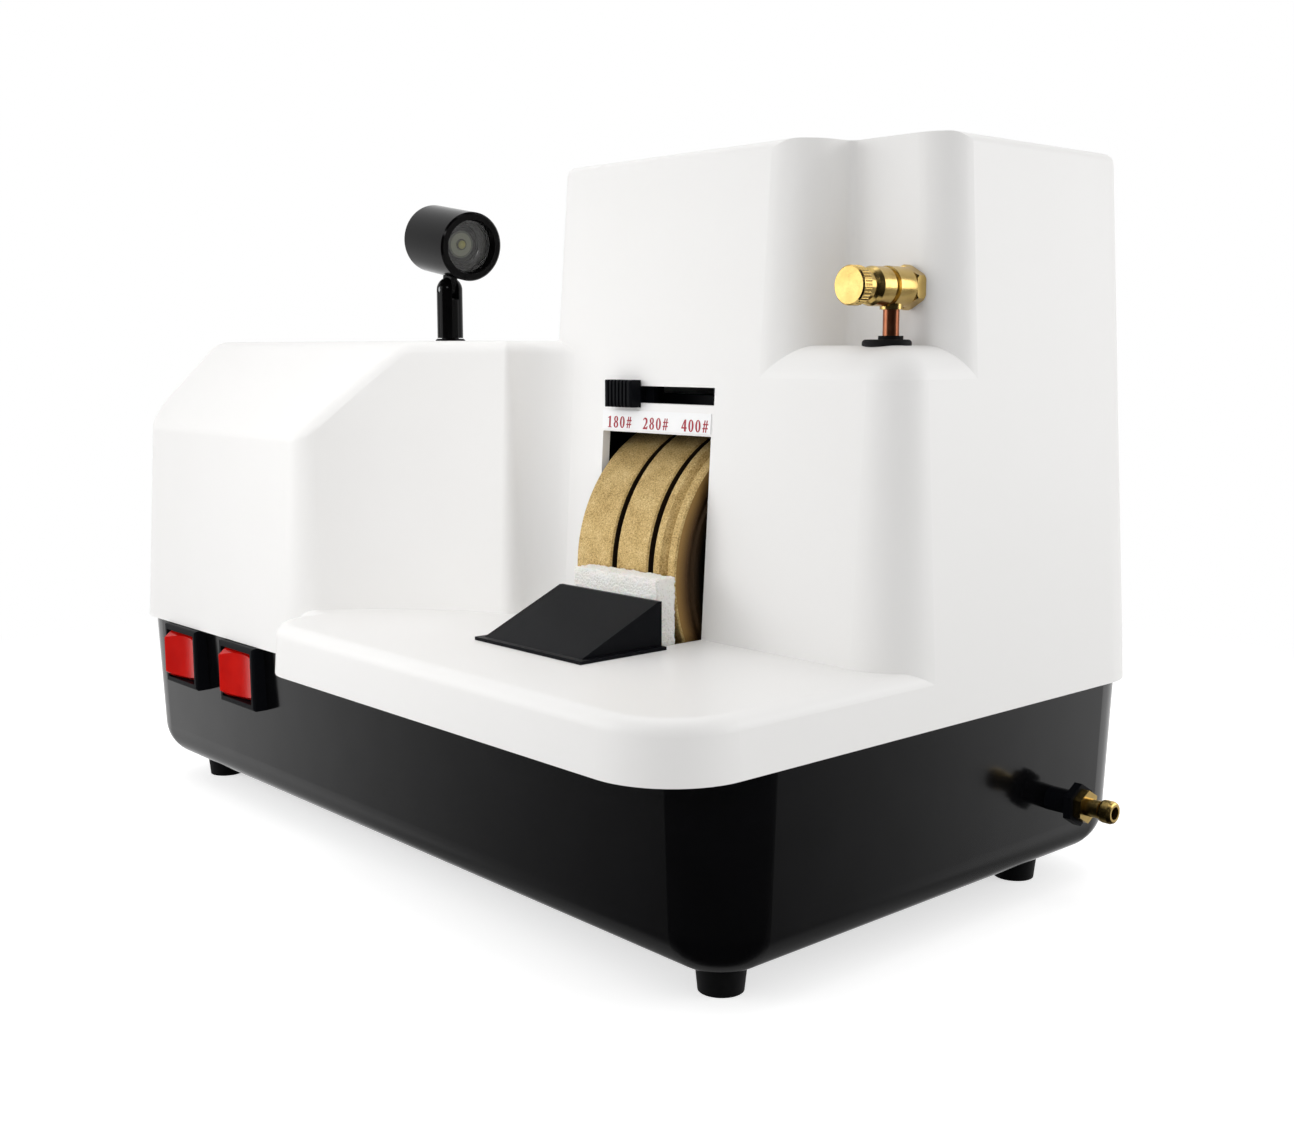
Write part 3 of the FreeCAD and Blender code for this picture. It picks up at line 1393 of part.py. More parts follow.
def make_lamp_head():
    """Round lamp head, hollow in front, with the tongue under it."""
    centre_z = pivot_z + stem_radius + free_gap + lamp_radius
    start = Vec(lamp_x, lamp_y, centre_z)
    flare_deep, flare_wide = lamp_bell
    profile = [(-lamp_back, 0), (-lamp_back, lamp_radius - head_back_edge),
               (-lamp_back + head_back_edge, lamp_radius), (lamp_front - head_front_edge, lamp_radius),
               (lamp_front, lamp_radius - head_front_edge), (lamp_front, lamp_bore + flare_wide),
               (lamp_front - flare_deep, lamp_bore), (lamp_front - lamp_hollow, lamp_bore),
               (lamp_front - lamp_hollow, 0)]
    head = turned(profile, X, start)
    tongue = box(lamp_x - tongue_half, lamp_x + tongue_half, lamp_y - tongue_thick / 2,
                 lamp_y + tongue_thick / 2, pivot_z, centre_z - lamp_bore - eye_under_bore)
    eye = rod(Y, Vec(lamp_x, lamp_y - tongue_thick / 2, pivot_z), tongue_half, tongue_thick)
    pin = rod(Y, Vec(lamp_x, lamp_y - through, pivot_z), pivot_radius + run_gap, 2 * through)
    return tipped(placed(head.fuse([tongue, eye]).cut(pin)))


def make_lamp_lens():
    centre_z = pivot_z + stem_radius + free_gap + lamp_radius
    start = Vec(lamp_x + lamp_front - lamp_glass_in - lamp_glass_thick, lamp_y, centre_z)
    return tipped(rod(X, start, lamp_bore - seat_gap, lamp_glass_thick))


def make_lamp_led():
    """Reflector cone with the light chip at its bottom."""
    centre_z = pivot_z + stem_radius + free_gap + lamp_radius
    start = Vec(lamp_x + lamp_front - lamp_hollow, lamp_y, centre_z)
    deep = lamp_hollow - lamp_glass_in - lamp_glass_thick - trim_gap
    rim = lamp_bore - seat_gap
    profile = [(0, 0), (0, rim), (deep, rim), (deep, rim - cone_edge), (cone_floor, cone_radius),
               (cone_floor, chip_radius + chip_slope), (chip_top, chip_radius), (chip_top, 0)]
    return tipped(turned(profile, X, start))


# ---------------------------------------------------------------- drain and cable fittings
def at_drain(x):
    return Vec(x, outlet_y, outlet_z)


def make_bulkhead_fitting():
    """Black drain fitting through the base wall, with a hose nipple inside."""
    inside = drain_wall_x - base_wall - fitting_nut_thick - past_nut
    collar_x = drain_wall_x + drain_neck_long
    socket = barb_radius + seat_gap
    profile = [(inside - inner_spigot, barb_bore), (inside - inner_spigot, outlet_radius),
               (inside, outlet_radius), (inside, drain_neck), (collar_x, drain_neck), (collar_x, socket),
               (collar_x - socket_deep, socket), (collar_x - socket_deep, barb_bore)]
    body = turned(profile, X, at_drain(0))
    collar = hexagon(X, at_drain(collar_x - 0.01), drain_hex, drain_hex_thick)
    hole = rod(X, at_drain(collar_x - 2 * over), socket, drain_hex_thick + 4 * over)
    return placed(body.fuse(collar.cut(hole)))


def make_hose_barb():
    """Brass hose tail with a neck, a groove and a thick rounded end."""
    start = drain_wall_x + drain_neck_long + drain_hex_thick
    r = barb_radius
    end = barb_hex_thick + barb_long
    bead = end - bead_long
    neck = r - tail_neck
    groove = r - groove_deep
    crest = r + bead_proud
    profile = [(-tail_in, barb_bore), (-tail_in, r), (barb_hex_thick, r), (barb_hex_thick, neck),
               (bead - 0.8, neck), (bead - 0.6, groove), (bead - 0.1, groove), (bead, crest - 0.2),
               (bead + 0.8, crest), (end - 1.2, crest), (end - 0.3, r), (end, r - 0.6), (end, barb_bore)]
    tail = turned(profile, X, at_drain(start))
    hexa = hexagon(X, at_drain(start), barb_hex, barb_hex_thick)
    return placed(tail.fuse(hexa.cut(rod(X, at_drain(start - over), neck, barb_hex_thick + 2 * over))))


def make_drain_tube():
    start = chamber_right + hose_end_gap
    end = drain_wall_x - base_wall - fitting_nut_thick - past_nut - hose_end_gap
    bore = outlet_radius + seat_gap
    return tube(X, at_drain(start), bore + hose_wall, bore, end - start)


def make_power_gland():
    """Cable entry with strain relief, low in the back wall."""
    wall_y = base_half_d - (parting_z - gland_z) * math.tan(math.radians(base_taper))
    start = Vec(gland_x, wall_y, gland_z)
    r = gland_radius
    inner = -base_wall - fitting_nut_thick - past_nut
    nose_long, nose_in = gland_nose
    profile = [(inner, gland_bore), (inner, gland_thread), (gland_hex_thick, gland_thread),
               (gland_hex_thick, r), (gland_reach - nose_long, r), (gland_reach, r - nose_in),
               (gland_reach, gland_bore)]
    body = turned(profile, Y, start)
    flange = hexagon(Y, start - Y * gland_seat, gland_hex, gland_hex_thick + gland_seat).cut(base_outer)
    return placed(body.fuse(flange.cut(rod(Y, start - Y * through, r - 2, drill_long))))


def make_fitting_nuts():
    """Lock nuts inside the base wall: drain fitting and cable gland."""
    drain_x = drain_wall_x - base_wall - fitting_nut_thick - nut_lean
    nut_a = hexagon(X, at_drain(drain_x), drain_hex, fitting_nut_thick)
    nut_a = nut_a.cut(rod(X, at_drain(drain_x - over), drain_neck + seat_gap, fitting_nut_thick + 2 * over))
    wall_y = base_half_d - (parting_z - gland_z) * math.tan(math.radians(base_taper))
    start = Vec(gland_x, wall_y - base_wall - fitting_nut_thick - nut_lean, gland_z)
    nut_b = hexagon(Y, start, gland_hex, fitting_nut_thick)
    nut_b = nut_b.cut(rod(Y, start - Y, gland_thread + seat_gap, fitting_nut_thick + 2 * over))
    return Part.makeCompound([placed(nut_a), placed(nut_b)])


def make_capacitor():
    """Motor run capacitor lying on the chassis plate, in its clip."""
    start = Vec(capacitor_x, capacitor_y, plate_top + capacitor_radius + capacitor_rise)
    can = turned(ring_profile(0, capacitor_long, capacitor_radius, 0, can_chamfer), X, start)
    clip_left, clip_right = clip_at
    clip = box(capacitor_x + clip_left, capacitor_x + clip_right, capacitor_y - clip_half,
               capacitor_y + clip_half, plate_top, plate_top + clip_high)
    return placed(can.fuse(clip))


def make_terminal_block():
    block = box(terminal_left, terminal_left + terminal_long, terminal_front, terminal_front + terminal_deep,
                plate_top, plate_top + terminal_high)
    holes = []
    for i in range(terminal_count):
        for row in terminal_rows:
            place = Vec(terminal_left + terminal_first + terminal_pitch * i, terminal_front + row,
                        plate_top + terminal_hole_floor)
            holes.append(rod(Z, place, terminal_hole, terminal_high))
    return placed(block.cut(Part.makeCompound(holes)))


parts = {
    "base_tray": make_base_tray(),
    "upper_shell": make_upper_shell(),
    "feet": make_feet(),
    "foot_screws": make_foot_screws(),
    "shell_screws": make_shell_screws(),
    "chassis_plate": make_chassis_plate(),
    "motor_cradle": make_motor_cradle(),
    "motor_straps": make_motor_straps(),
    "motor_casing": make_motor_casing(),
    "motor_stator": make_stator(),
    "motor_end_bell_left": make_end_bell(-1),
    "motor_end_bell_right": make_end_bell(1),
    "motor_bearing_left": make_bearing(-1),
    "motor_bearing_right": make_bearing(1),
    "motor_rotor": make_rotor(),
    "arbor_shaft": make_arbor_shaft(),
    "wheel_coarse": make_wheel(0),
    "wheel_medium": make_wheel(1),
    "wheel_fine": make_wheel(2),
    "wheel_spacers": make_wheel_spacers(),
    "wheel_flange_inner": make_inner_flange(),
    "wheel_flange_outer": make_outer_flange(),
    "arbor_nut": make_arbor_nut(),
    "wheel_chamber": make_wheel_chamber(),
    "shaft_seal": make_shaft_seal(),
    "sponge_holder": make_sponge_holder(),
    "sponge": make_sponge(),
    "slider_knob": make_slider_knob(),
    "drip_carriage": make_drip_carriage(),
    "slider_rail": make_slider_rail(),
    "grit_label": make_grit_label(),
    "water_tank": make_water_tank(),
    "filler_ring": make_filler_ring(),
    "filler_cap": make_filler_cap(),
    "tap_body": make_tap_body(),
    "tap_nut": make_tap_nut(),
    "tap_back_nut": make_tap_back_nut(),
    "tap_bonnet": make_tap_bonnet(),
    "tap_knob": make_tap_knob(),
    "copper_tube": make_copper_tube(),
    "tube_grommet": make_tube_grommet(),
    "switch_housing_1": make_switch_housing(0),
    "switch_housing_2": make_switch_housing(1),
    "rocker_1": make_rocker(0),
    "rocker_2": make_rocker(1),
    "lamp_bush": make_lamp_bush(),
    "lamp_bush_nut": make_lamp_bush_nut(),
    "lamp_stem": make_lamp_stem(),
    "lamp_pivot_screw": make_lamp_pivot_screw(),
    "lamp_head": make_lamp_head(),
    "lamp_lens": make_lamp_lens(),
    "lamp_led": make_lamp_led(),
    "bulkhead_fitting": make_bulkhead_fitting(),
    "hose_barb": make_hose_barb(),
    "drain_tube": make_drain_tube(),
    "power_gland": make_power_gland(),
    "fitting_nuts": make_fitting_nuts(),
    "capacitor": make_capacitor(),
    "terminal_block": make_terminal_block(),
}

# origin: bottom centre of the whole machine
whole = FreeCAD.BoundBox()
for shape in parts.values():
    whole.add(shape.optimalBoundingBox(False, False))
shift = Vec(-whole.Center.x, -whole.Center.y, -whole.ZMin)
os.makedirs("parts", exist_ok=True)
for name, shape in parts.items():
    shape.translate(shift)
    shape.exportStep("parts/" + name + ".step")
    print(name, len(shape.Solids), shape.isValid(), round(shape.Volume), shape.ShapeType)
print("shift", shift, "size", whole.XLength, whole.YLength, whole.ZLength)
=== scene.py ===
import json
import math

import bmesh
import bpy
from mathutils import Matrix, Vector, noise
from mathutils.geometry import tessellate_polygon


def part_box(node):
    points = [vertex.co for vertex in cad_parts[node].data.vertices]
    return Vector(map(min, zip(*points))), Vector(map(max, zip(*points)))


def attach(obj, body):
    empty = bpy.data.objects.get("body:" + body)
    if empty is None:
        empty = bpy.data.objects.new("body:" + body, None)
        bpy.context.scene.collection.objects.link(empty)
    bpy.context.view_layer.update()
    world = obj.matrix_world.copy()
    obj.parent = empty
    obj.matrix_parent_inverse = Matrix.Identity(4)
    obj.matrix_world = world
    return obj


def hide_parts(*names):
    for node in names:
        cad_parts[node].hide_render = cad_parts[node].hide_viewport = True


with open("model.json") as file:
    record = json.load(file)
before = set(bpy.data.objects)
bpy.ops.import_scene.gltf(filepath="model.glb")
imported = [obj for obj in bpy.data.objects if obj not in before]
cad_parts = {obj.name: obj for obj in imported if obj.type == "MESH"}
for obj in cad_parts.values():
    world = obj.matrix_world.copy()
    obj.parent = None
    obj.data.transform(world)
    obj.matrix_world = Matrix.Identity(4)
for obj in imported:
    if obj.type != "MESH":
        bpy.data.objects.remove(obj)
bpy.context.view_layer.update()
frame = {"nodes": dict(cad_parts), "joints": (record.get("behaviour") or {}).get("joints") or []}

# ---------------------------------------------------------------------------
# Viewpoint
# A standing person's look at the right-front corner of the bench machine,
# from about 0.6 m away, a little above the hood's middle.
eye = bpy.data.cameras.new("eye")
eye.sensor_fit = "HORIZONTAL"
eye.sensor_width = 36.0
eye.lens = 42.42
viewer = bpy.data.objects.new("viewer", eye)
viewer.location = (0.4830, -0.4024, 0.2004)
viewer.rotation_euler = (math.radians(81.856), 0.0, math.radians(48.105))
bpy.context.scene.collection.objects.link(viewer)
bpy.context.scene.camera = viewer

# ---------------------------------------------------------------------------
# Room
# A white sweep table behind and beside the machine, the darker room in front of
# it, a soft box at each side and a soft panel above.


def srgb(code):
    """Linear colour of a six-digit sRGB hex code."""
    parts = [int(code[i:i + 2], 16) / 255 for i in (0, 2, 4)]
    return [c / 12.92 if c <= 0.04045 else ((c + 0.055) / 1.055) ** 2.4 for c in parts] + [1.0]


def add_node(tree, kind, inputs=None, **settings):
    """Adds one node with its settings; an input is a value or the socket that feeds it."""
    node = tree.nodes.new(kind)
    for name, value in settings.items():
        setattr(node, name, value)
    for socket, value in (inputs or {}).items():
        if isinstance(value, bpy.types.NodeSocket):
            tree.links.new(value, node.inputs[socket])
        else:
            node.inputs[socket].default_value = value
    return node


bpy.context.scene.view_settings.view_transform = "Standard"
room = bpy.data.worlds.new("white_sweep_and_dark_room")
room.use_nodes = True
bpy.context.scene.world = room
tree = room.node_tree
tree.nodes.clear()
toward = add_node(tree, "ShaderNodeTexCoord").outputs["Generated"]
sweep_side = (-0.676, 0.737, 0.0)
away = add_node(tree, "ShaderNodeVectorMath", {0: toward, 1: sweep_side},
                operation="DOT_PRODUCT")
turned_away = add_node(tree, "ShaderNodeMapRange", {
    "Value": away.outputs["Value"], "From Min": -1.0, "From Max": 1.0})
ramp = add_node(tree, "ShaderNodeValToRGB", {"Fac": turned_away.outputs[0]})
stops = ramp.color_ramp.elements
stops[0].position = 0.45
stops[0].color = (0.02, 0.02, 0.02, 1.0)
stops[1].position = 0.665
stops[1].color = (1.0, 1.0, 1.0, 1.0)
for at, level in ((0.522, 0.11), (0.561, 0.2), (0.603, 0.38), (0.63, 0.6)):
    stops.new(at).color = (level, level, level, 1.0)
# the sheet close under the machine lies in its shade
height = add_node(tree, "ShaderNodeSeparateXYZ", {0: toward})
shade = add_node(tree, "ShaderNodeMapRange", {
    "Value": height.outputs["Z"], "From Min": -0.6, "From Max": -0.27,
    "To Min": 0.15, "To Max": 1.0})
rays = add_node(tree, "ShaderNodeLightPath")
seen = add_node(tree, "ShaderNodeMath", {
    0: rays.outputs["Is Camera Ray"], 1: rays.outputs["Is Transmission Ray"]}, operation="MAXIMUM")
ambient = add_node(tree, "ShaderNodeBackground", {"Color": (1.0, 1.0, 1.0, 1.0), "Strength": 0.64})
mirrored = add_node(tree, "ShaderNodeBackground", {
    "Color": ramp.outputs["Color"], "Strength": shade.outputs[0]})
white = add_node(tree, "ShaderNodeBackground", {"Color": (1.0, 1.0, 1.0, 1.0), "Strength": 1.0})
glossy_mix = add_node(tree, "ShaderNodeMixShader", {
    0: rays.outputs["Is Glossy Ray"], 1: ambient.outputs[0], 2: mirrored.outputs[0]})
world_mix = add_node(tree, "ShaderNodeMixShader", {
    0: seen.outputs[0], 1: glossy_mix.outputs[0], 2: white.outputs[0]})
add_node(tree, "ShaderNodeOutputWorld", {"Surface": world_mix.outputs[0]})

floor_mesh = bpy.data.meshes.new("table_top")
table_half = 9
floor_mesh.from_pydata([(table_half * x, table_half * y, 0)
                        for x, y in ((-1, -1), (1, -1), (1, 1), (-1, 1))], [], [(0, 1, 2, 3)])
floor = bpy.data.objects.new("table_top", floor_mesh)
bpy.context.scene.collection.objects.link(floor)
floor.visible_glossy = False
paper = bpy.data.materials.new("white_paper_sweep")
paper.use_nodes = True
tree = paper.node_tree
tree.nodes.clear()
rays = add_node(tree, "ShaderNodeLightPath")
sheet = add_node(tree, "ShaderNodeBsdfDiffuse", {"Color": srgb("e9e9e9")})
glow = add_node(tree, "ShaderNodeEmission", {
    "Color": (1.0, 1.0, 1.0, 1.0),
    "Strength": add_node(tree, "ShaderNodeMath", {
        0: rays.outputs["Is Camera Ray"], 1: 0.62}, operation="MULTIPLY").outputs[0]})
near = add_node(tree, "ShaderNodeAddShader", {0: sheet.outputs[0], 1: glow.outputs[0]})
# away from the machine the sheet runs off into the white of the room
spread = add_node(tree, "ShaderNodeVectorMath", {
    0: add_node(tree, "ShaderNodeTexCoord").outputs["Object"]}, operation="LENGTH")
fading = add_node(tree, "ShaderNodeMapRange", {
    "Value": spread.outputs["Value"], "From Min": 0.30, "From Max": 0.60},
    interpolation_type="SMOOTHSTEP")
far = add_node(tree, "ShaderNodeEmission", {"Color": (1.0, 1.0, 1.0, 1.0), "Strength": 1.0})
fade = add_node(tree, "ShaderNodeMath", {
    0: fading.outputs[0], 1: rays.outputs["Is Camera Ray"]}, operation="MULTIPLY")
add_node(tree, "ShaderNodeOutputMaterial", {
    "Surface": add_node(tree, "ShaderNodeMixShader", {
        0: fade.outputs[0], 1: near.outputs[0], 2: far.outputs[0]}).outputs[0]})
floor_mesh.materials.append(paper)

machine_middle = Vector((0, 0, 0.12))
for name, place, size, power in (
        ("soft_box_left", (-0.93, -1.24, 0.46), (1.0, 0.8), 6.2),
        ("soft_box_right", (1.17, 1.05, 0.46), (1.0, 0.8), 6.2),
        ("soft_panel_above", (-0.1, -0.1, 1.7), (1.4, 1.2), 6.0)):
    lamp = bpy.data.lights.new(name, "AREA")
    lamp.shape = "RECTANGLE"
    lamp.size, lamp.size_y = size
    lamp.energy = power
    fixture = bpy.data.objects.new(name, lamp)
    fixture.location = place
    aim = machine_middle - fixture.location
    fixture.rotation_euler = aim.to_track_quat("-Z", "Y").to_euler()
    bpy.context.scene.collection.objects.link(fixture)

# a snooted lamp fills the scoop, where the side boxes hardly reach
snoot = bpy.data.lights.new("scoop_fill", "SPOT")
snoot.energy = 7.0
snoot.shadow_soft_size = 0.12
snoot.spot_size = math.radians(28.0)
snoot.spot_blend = 1.0
fixture = bpy.data.objects.new("scoop_fill", snoot)
fixture.location = (0.36, -0.68, 0.50)
scoop_middle = Vector((-0.03, -0.08, 0.15))
aim = scoop_middle - fixture.location
fixture.rotation_euler = aim.to_track_quat("-Z", "Y").to_euler()
bpy.context.scene.collection.objects.link(fixture)

# ---------------------------------------------------------------------------
# Base tray
# Injection-moulded ABS, polished black: a smooth skin that mirrors the room over a
# body colour with no light in it, with the faint waviness of a large moulding.


def new_finish(name):
    """A material of this name, its node tree, its shader, and the place on the object."""
    material = bpy.data.materials.new(name)
    material.use_nodes = True
    tree = material.node_tree
    where = add_node(tree, "ShaderNodeTexCoord").outputs["Object"]
    return material, tree, tree.nodes["Principled BSDF"], where


def dress(material, *names):
    """Gives a finish to the CAD pieces of these names."""
    for name in names:
        for place in frame["nodes"][name].material_slots:
            place.material = material


black_abs, tree, shader, where = new_finish("polished_black_ABS")
shader.inputs["IOR"].default_value = 1.52
# sink and flow waves some 25 mm long, and smears of about 15 mm that dull the polish a little
waves = add_node(tree, "ShaderNodeTexNoise", {"Vector": where, "Scale": 40.0, "Detail": 1.0})
wiped = add_node(tree, "ShaderNodeTexNoise", {"Vector": where, "Scale": 70.0, "Detail": 2.0})
polish = add_node(tree, "ShaderNodeMapRange", {
    "Value": wiped.outputs["Fac"], "To Min": 0.1, "To Max": 0.18})
tree.links.new(polish.outputs[0], shader.inputs["Roughness"])
# a colour mix takes its two colours at sockets 6 and 7 and gives the result at output 2
tint = add_node(tree, "ShaderNodeMix", {
    "Factor": waves.outputs["Fac"], 6: srgb("060607"), 7: srgb("0b0b0d")}, data_type="RGBA")
tree.links.new(tint.outputs[2], shader.inputs["Base Color"])
swell = add_node(tree, "ShaderNodeBump", {
    "Height": waves.outputs["Fac"], "Strength": 0.12, "Distance": 0.0003})
tree.links.new(swell.outputs["Normal"], shader.inputs["Normal"])
dress(black_abs, "base_tray")

# ---------------------------------------------------------------------------
# Feet and their screws
# Four tapered rubber feet, dull black, each held by one zinc-plated screw.

# moulded rubber with a grey bloom: dull, with one soft broad highlight
rubber, tree, shader, where = new_finish("black_rubber")
shader.inputs["IOR"].default_value = 1.5
bloom = add_node(tree, "ShaderNodeTexNoise", {"Vector": where, "Scale": 300.0, "Detail": 3.0})
tint = add_node(tree, "ShaderNodeMix", {
    "Factor": bloom.outputs["Fac"], 6: srgb("0c0c0d"), 7: srgb("18181a")}, data_type="RGBA")
tree.links.new(tint.outputs[2], shader.inputs["Base Color"])
shader.inputs["Specular IOR Level"].default_value = 0.25
dulling = add_node(tree, "ShaderNodeMapRange", {
    "Value": bloom.outputs["Fac"], "To Min": 0.6, "To Max": 0.8})
tree.links.new(dulling.outputs[0], shader.inputs["Roughness"])
grip = add_node(tree, "ShaderNodeBump", {
    "Height": bloom.outputs["Fac"], "Strength": 0.3, "Distance": 0.0002})
tree.links.new(grip.outputs["Normal"], shader.inputs["Normal"])
dress(rubber, "feet", "tube_grommet")

# bright zinc plating: a pale blue-grey mirror, dulled unevenly by its thin film
zinc, tree, shader, where = new_finish("zinc_plated_steel")
shader.inputs["Metallic"].default_value = 1.0
film = add_node(tree, "ShaderNodeTexNoise", {"Vector": where, "Scale": 220.0, "Detail": 2.0})
tint = add_node(tree, "ShaderNodeMix", {
    "Factor": film.outputs["Fac"], 6: srgb("aeb2b8"), 7: srgb("c6c8c4")}, data_type="RGBA")
tree.links.new(tint.outputs[2], shader.inputs["Base Color"])
dulled = add_node(tree, "ShaderNodeMapRange", {
    "Value": film.outputs["Fac"], "To Min": 0.26, "To Max": 0.4})
tree.links.new(dulled.outputs[0], shader.inputs["Roughness"])
dress(zinc, "foot_screws", "shell_screws", "motor_bearing_left", "motor_bearing_right",
      "arbor_nut", "fitting_nuts", "lamp_pivot_screw", "lamp_bush_nut")

# ---------------------------------------------------------------------------
# Upper shell
# One vacuum-cast ABS cover, painted soft white: an even satin skin with a very
# fine spray grain, joined to the tray along the parting line.
white_abs, tree, shader, where = new_finish("satin_white_ABS")
shader.inputs["IOR"].default_value = 1.48
clouds = add_node(tree, "ShaderNodeTexNoise", {"Vector": where, "Scale": 14.0, "Detail": 2.0})
# spray grain, drawn about 0.6 mm across, coarser than it is, so that it shows
spray = add_node(tree, "ShaderNodeTexNoise", {"Vector": where, "Scale": 1600.0, "Detail": 2.0})
tint = add_node(tree, "ShaderNodeMix", {
    "Factor": clouds.outputs["Fac"], 6: srgb("f2f1ef"), 7: srgb("f5f4f3")}, data_type="RGBA")
tree.links.new(tint.outputs[2], shader.inputs["Base Color"])
satin = add_node(tree, "ShaderNodeMapRange", {
    "Value": spray.outputs["Fac"], "To Min": 0.36, "To Max": 0.48})
tree.links.new(satin.outputs[0], shader.inputs["Roughness"])
grain = add_node(tree, "ShaderNodeBump", {
    "Height": spray.outputs["Fac"], "Strength": 0.10, "Distance": 0.00008})
tree.links.new(grain.outputs["Normal"], shader.inputs["Normal"])
dress(white_abs, "upper_shell")

# ---------------------------------------------------------------------------
# Chassis plate, motor cradle and straps
# Galvanised sheet steel under the shell: grey with the soft leaf-like spangle
# of hot-dip zinc, bolted to the tray.
galvanised, tree, shader, where = new_finish("galvanised_sheet_steel")
shader.inputs["Metallic"].default_value = 0.85
# spangles about 10 mm across
spangle = add_node(tree, "ShaderNodeTexVoronoi", {"Vector": where, "Scale": 100.0})
tint = add_node(tree, "ShaderNodeMix", {
    "Factor": spangle.outputs["Color"], 6: srgb("8e9498"), 7: srgb("b4b9bc")}, data_type="RGBA")
tree.links.new(tint.outputs[2], shader.inputs["Base Color"])
frost = add_node(tree, "ShaderNodeMapRange", {
    "Value": spangle.outputs["Distance"], "To Min": 0.35, "To Max": 0.55})
tree.links.new(frost.outputs[0], shader.inputs["Roughness"])
dress(galvanised, "chassis_plate", "motor_cradle", "motor_straps")

# ---------------------------------------------------------------------------
# Motor
# Totally enclosed bench motor: grey-painted steel casing between two die-cast
# aluminium end bells, with a stack of varnished laminations inside.

# hammer paint: round dimples about 2 mm across in a gloss coat
paint, tree, shader, where = new_finish("grey_hammer_paint")
dimples = add_node(tree, "ShaderNodeTexVoronoi", {"Vector": where, "Scale": 500.0},
                   feature="SMOOTH_F1")
tint = add_node(tree, "ShaderNodeMix", {
    "Factor": dimples.outputs["Distance"], 6: srgb("4a5158"), 7: srgb("6a7178")}, data_type="RGBA")
tree.links.new(tint.outputs[2], shader.inputs["Base Color"])
shader.inputs["Roughness"].default_value = 0.35
dented = add_node(tree, "ShaderNodeBump", {
    "Height": dimples.outputs["Distance"], "Strength": 0.3, "Distance": 0.0003})
tree.links.new(dented.outputs["Normal"], shader.inputs["Normal"])
dress(paint, "motor_casing")

# die casting, shot-blasted: pale, grainy and without a clear highlight
cast, tree, shader, where = new_finish("die_cast_aluminium")
shader.inputs["Metallic"].default_value = 1.0
skin = add_node(tree, "ShaderNodeTexNoise", {"Vector": where, "Scale": 700.0, "Detail": 5.0})
tint = add_node(tree, "ShaderNodeMix", {
    "Factor": skin.outputs["Fac"], 6: srgb("8f9193"), 7: srgb("b5b7b8")}, data_type="RGBA")
tree.links.new(tint.outputs[2], shader.inputs["Base Color"])
shader.inputs["Roughness"].default_value = 0.5
rough = add_node(tree, "ShaderNodeBump", {
    "Height": skin.outputs["Fac"], "Strength": 0.4, "Distance": 0.0002})
tree.links.new(rough.outputs["Normal"], shader.inputs["Normal"])
dress(cast, "motor_end_bell_left", "motor_end_bell_right")

# varnished steel sheets: brown, half shiny and finely ribbed
stack, tree, shader, where = new_finish("varnished_laminations")
shader.inputs["Metallic"].default_value = 0.6
shader.inputs["Roughness"].default_value = 0.4
# sheets 0.5 mm thick stacked along the shaft
sheets = add_node(tree, "ShaderNodeTexWave", {"Vector": where, "Scale": 320.0}, bands_direction="X")
tint = add_node(tree, "ShaderNodeMix", {
    "Factor": sheets.outputs["Fac"], 6: srgb("5c3a22"), 7: srgb("8a6242")}, data_type="RGBA")
tree.links.new(tint.outputs[2], shader.inputs["Base Color"])
edges = add_node(tree, "ShaderNodeBump", {
    "Height": sheets.outputs["Fac"], "Strength": 0.4, "Distance": 0.0001})
tree.links.new(edges.outputs["Normal"], shader.inputs["Normal"])
dress(stack, "motor_stator", "motor_rotor")

# ---------------------------------------------------------------------------
# Run capacitor and terminal block
# A grey moulded capacitor can and a strip of natural nylon terminals on the
# chassis, the usual small electrics of such a motor.

# natural nylon: creamy and waxy, with some light in it
nylon, tree, shader, where = new_finish("natural_nylon")
shader.inputs["Subsurface Weight"].default_value = 0.2
shader.inputs["Subsurface Scale"].default_value = 0.002
flow = add_node(tree, "ShaderNodeTexNoise", {"Vector": where, "Scale": 160.0, "Detail": 3.0})
tint = add_node(tree, "ShaderNodeMix", {
    "Factor": flow.outputs["Fac"], 6: srgb("ddd8c8"), 7: srgb("ebe7da")}, data_type="RGBA")
tree.links.new(tint.outputs[2], shader.inputs["Base Color"])
waxy = add_node(tree, "ShaderNodeMapRange", {
    "Value": flow.outputs["Fac"], "To Min": 0.35, "To Max": 0.5})
tree.links.new(waxy.outputs[0], shader.inputs["Roughness"])
dress(nylon, "terminal_block")

# moulded thermoset: plain dark grey, even and nearly matt
casing, tree, shader, where = new_finish("grey_moulded_capacitor_can")
flow = add_node(tree, "ShaderNodeTexNoise", {"Vector": where, "Scale": 500.0, "Detail": 3.0})
tint = add_node(tree, "ShaderNodeMix", {
    "Factor": flow.outputs["Fac"], 6: srgb("44464a"), 7: srgb("505257")}, data_type="RGBA")
tree.links.new(tint.outputs[2], shader.inputs["Base Color"])
matt = add_node(tree, "ShaderNodeMapRange", {
    "Value": flow.outputs["Fac"], "To Min": 0.4, "To Max": 0.55})
tree.links.new(matt.outputs[0], shader.inputs["Roughness"])
dress(casing, "capacitor")

# ---------------------------------------------------------------------------
# Arbor and grinding wheels
# Three sintered bronze wheels with diamond grit, coarse to fine from the left,
# clamped between turned steel flanges and spacers on the ground arbor.

# sintered bronze full of grit: sandy and half metallic, pale where the grains stand out
bronze, tree, shader, where = new_finish("sintered_diamond_bronze")
shader.inputs["Metallic"].default_value = 0.5
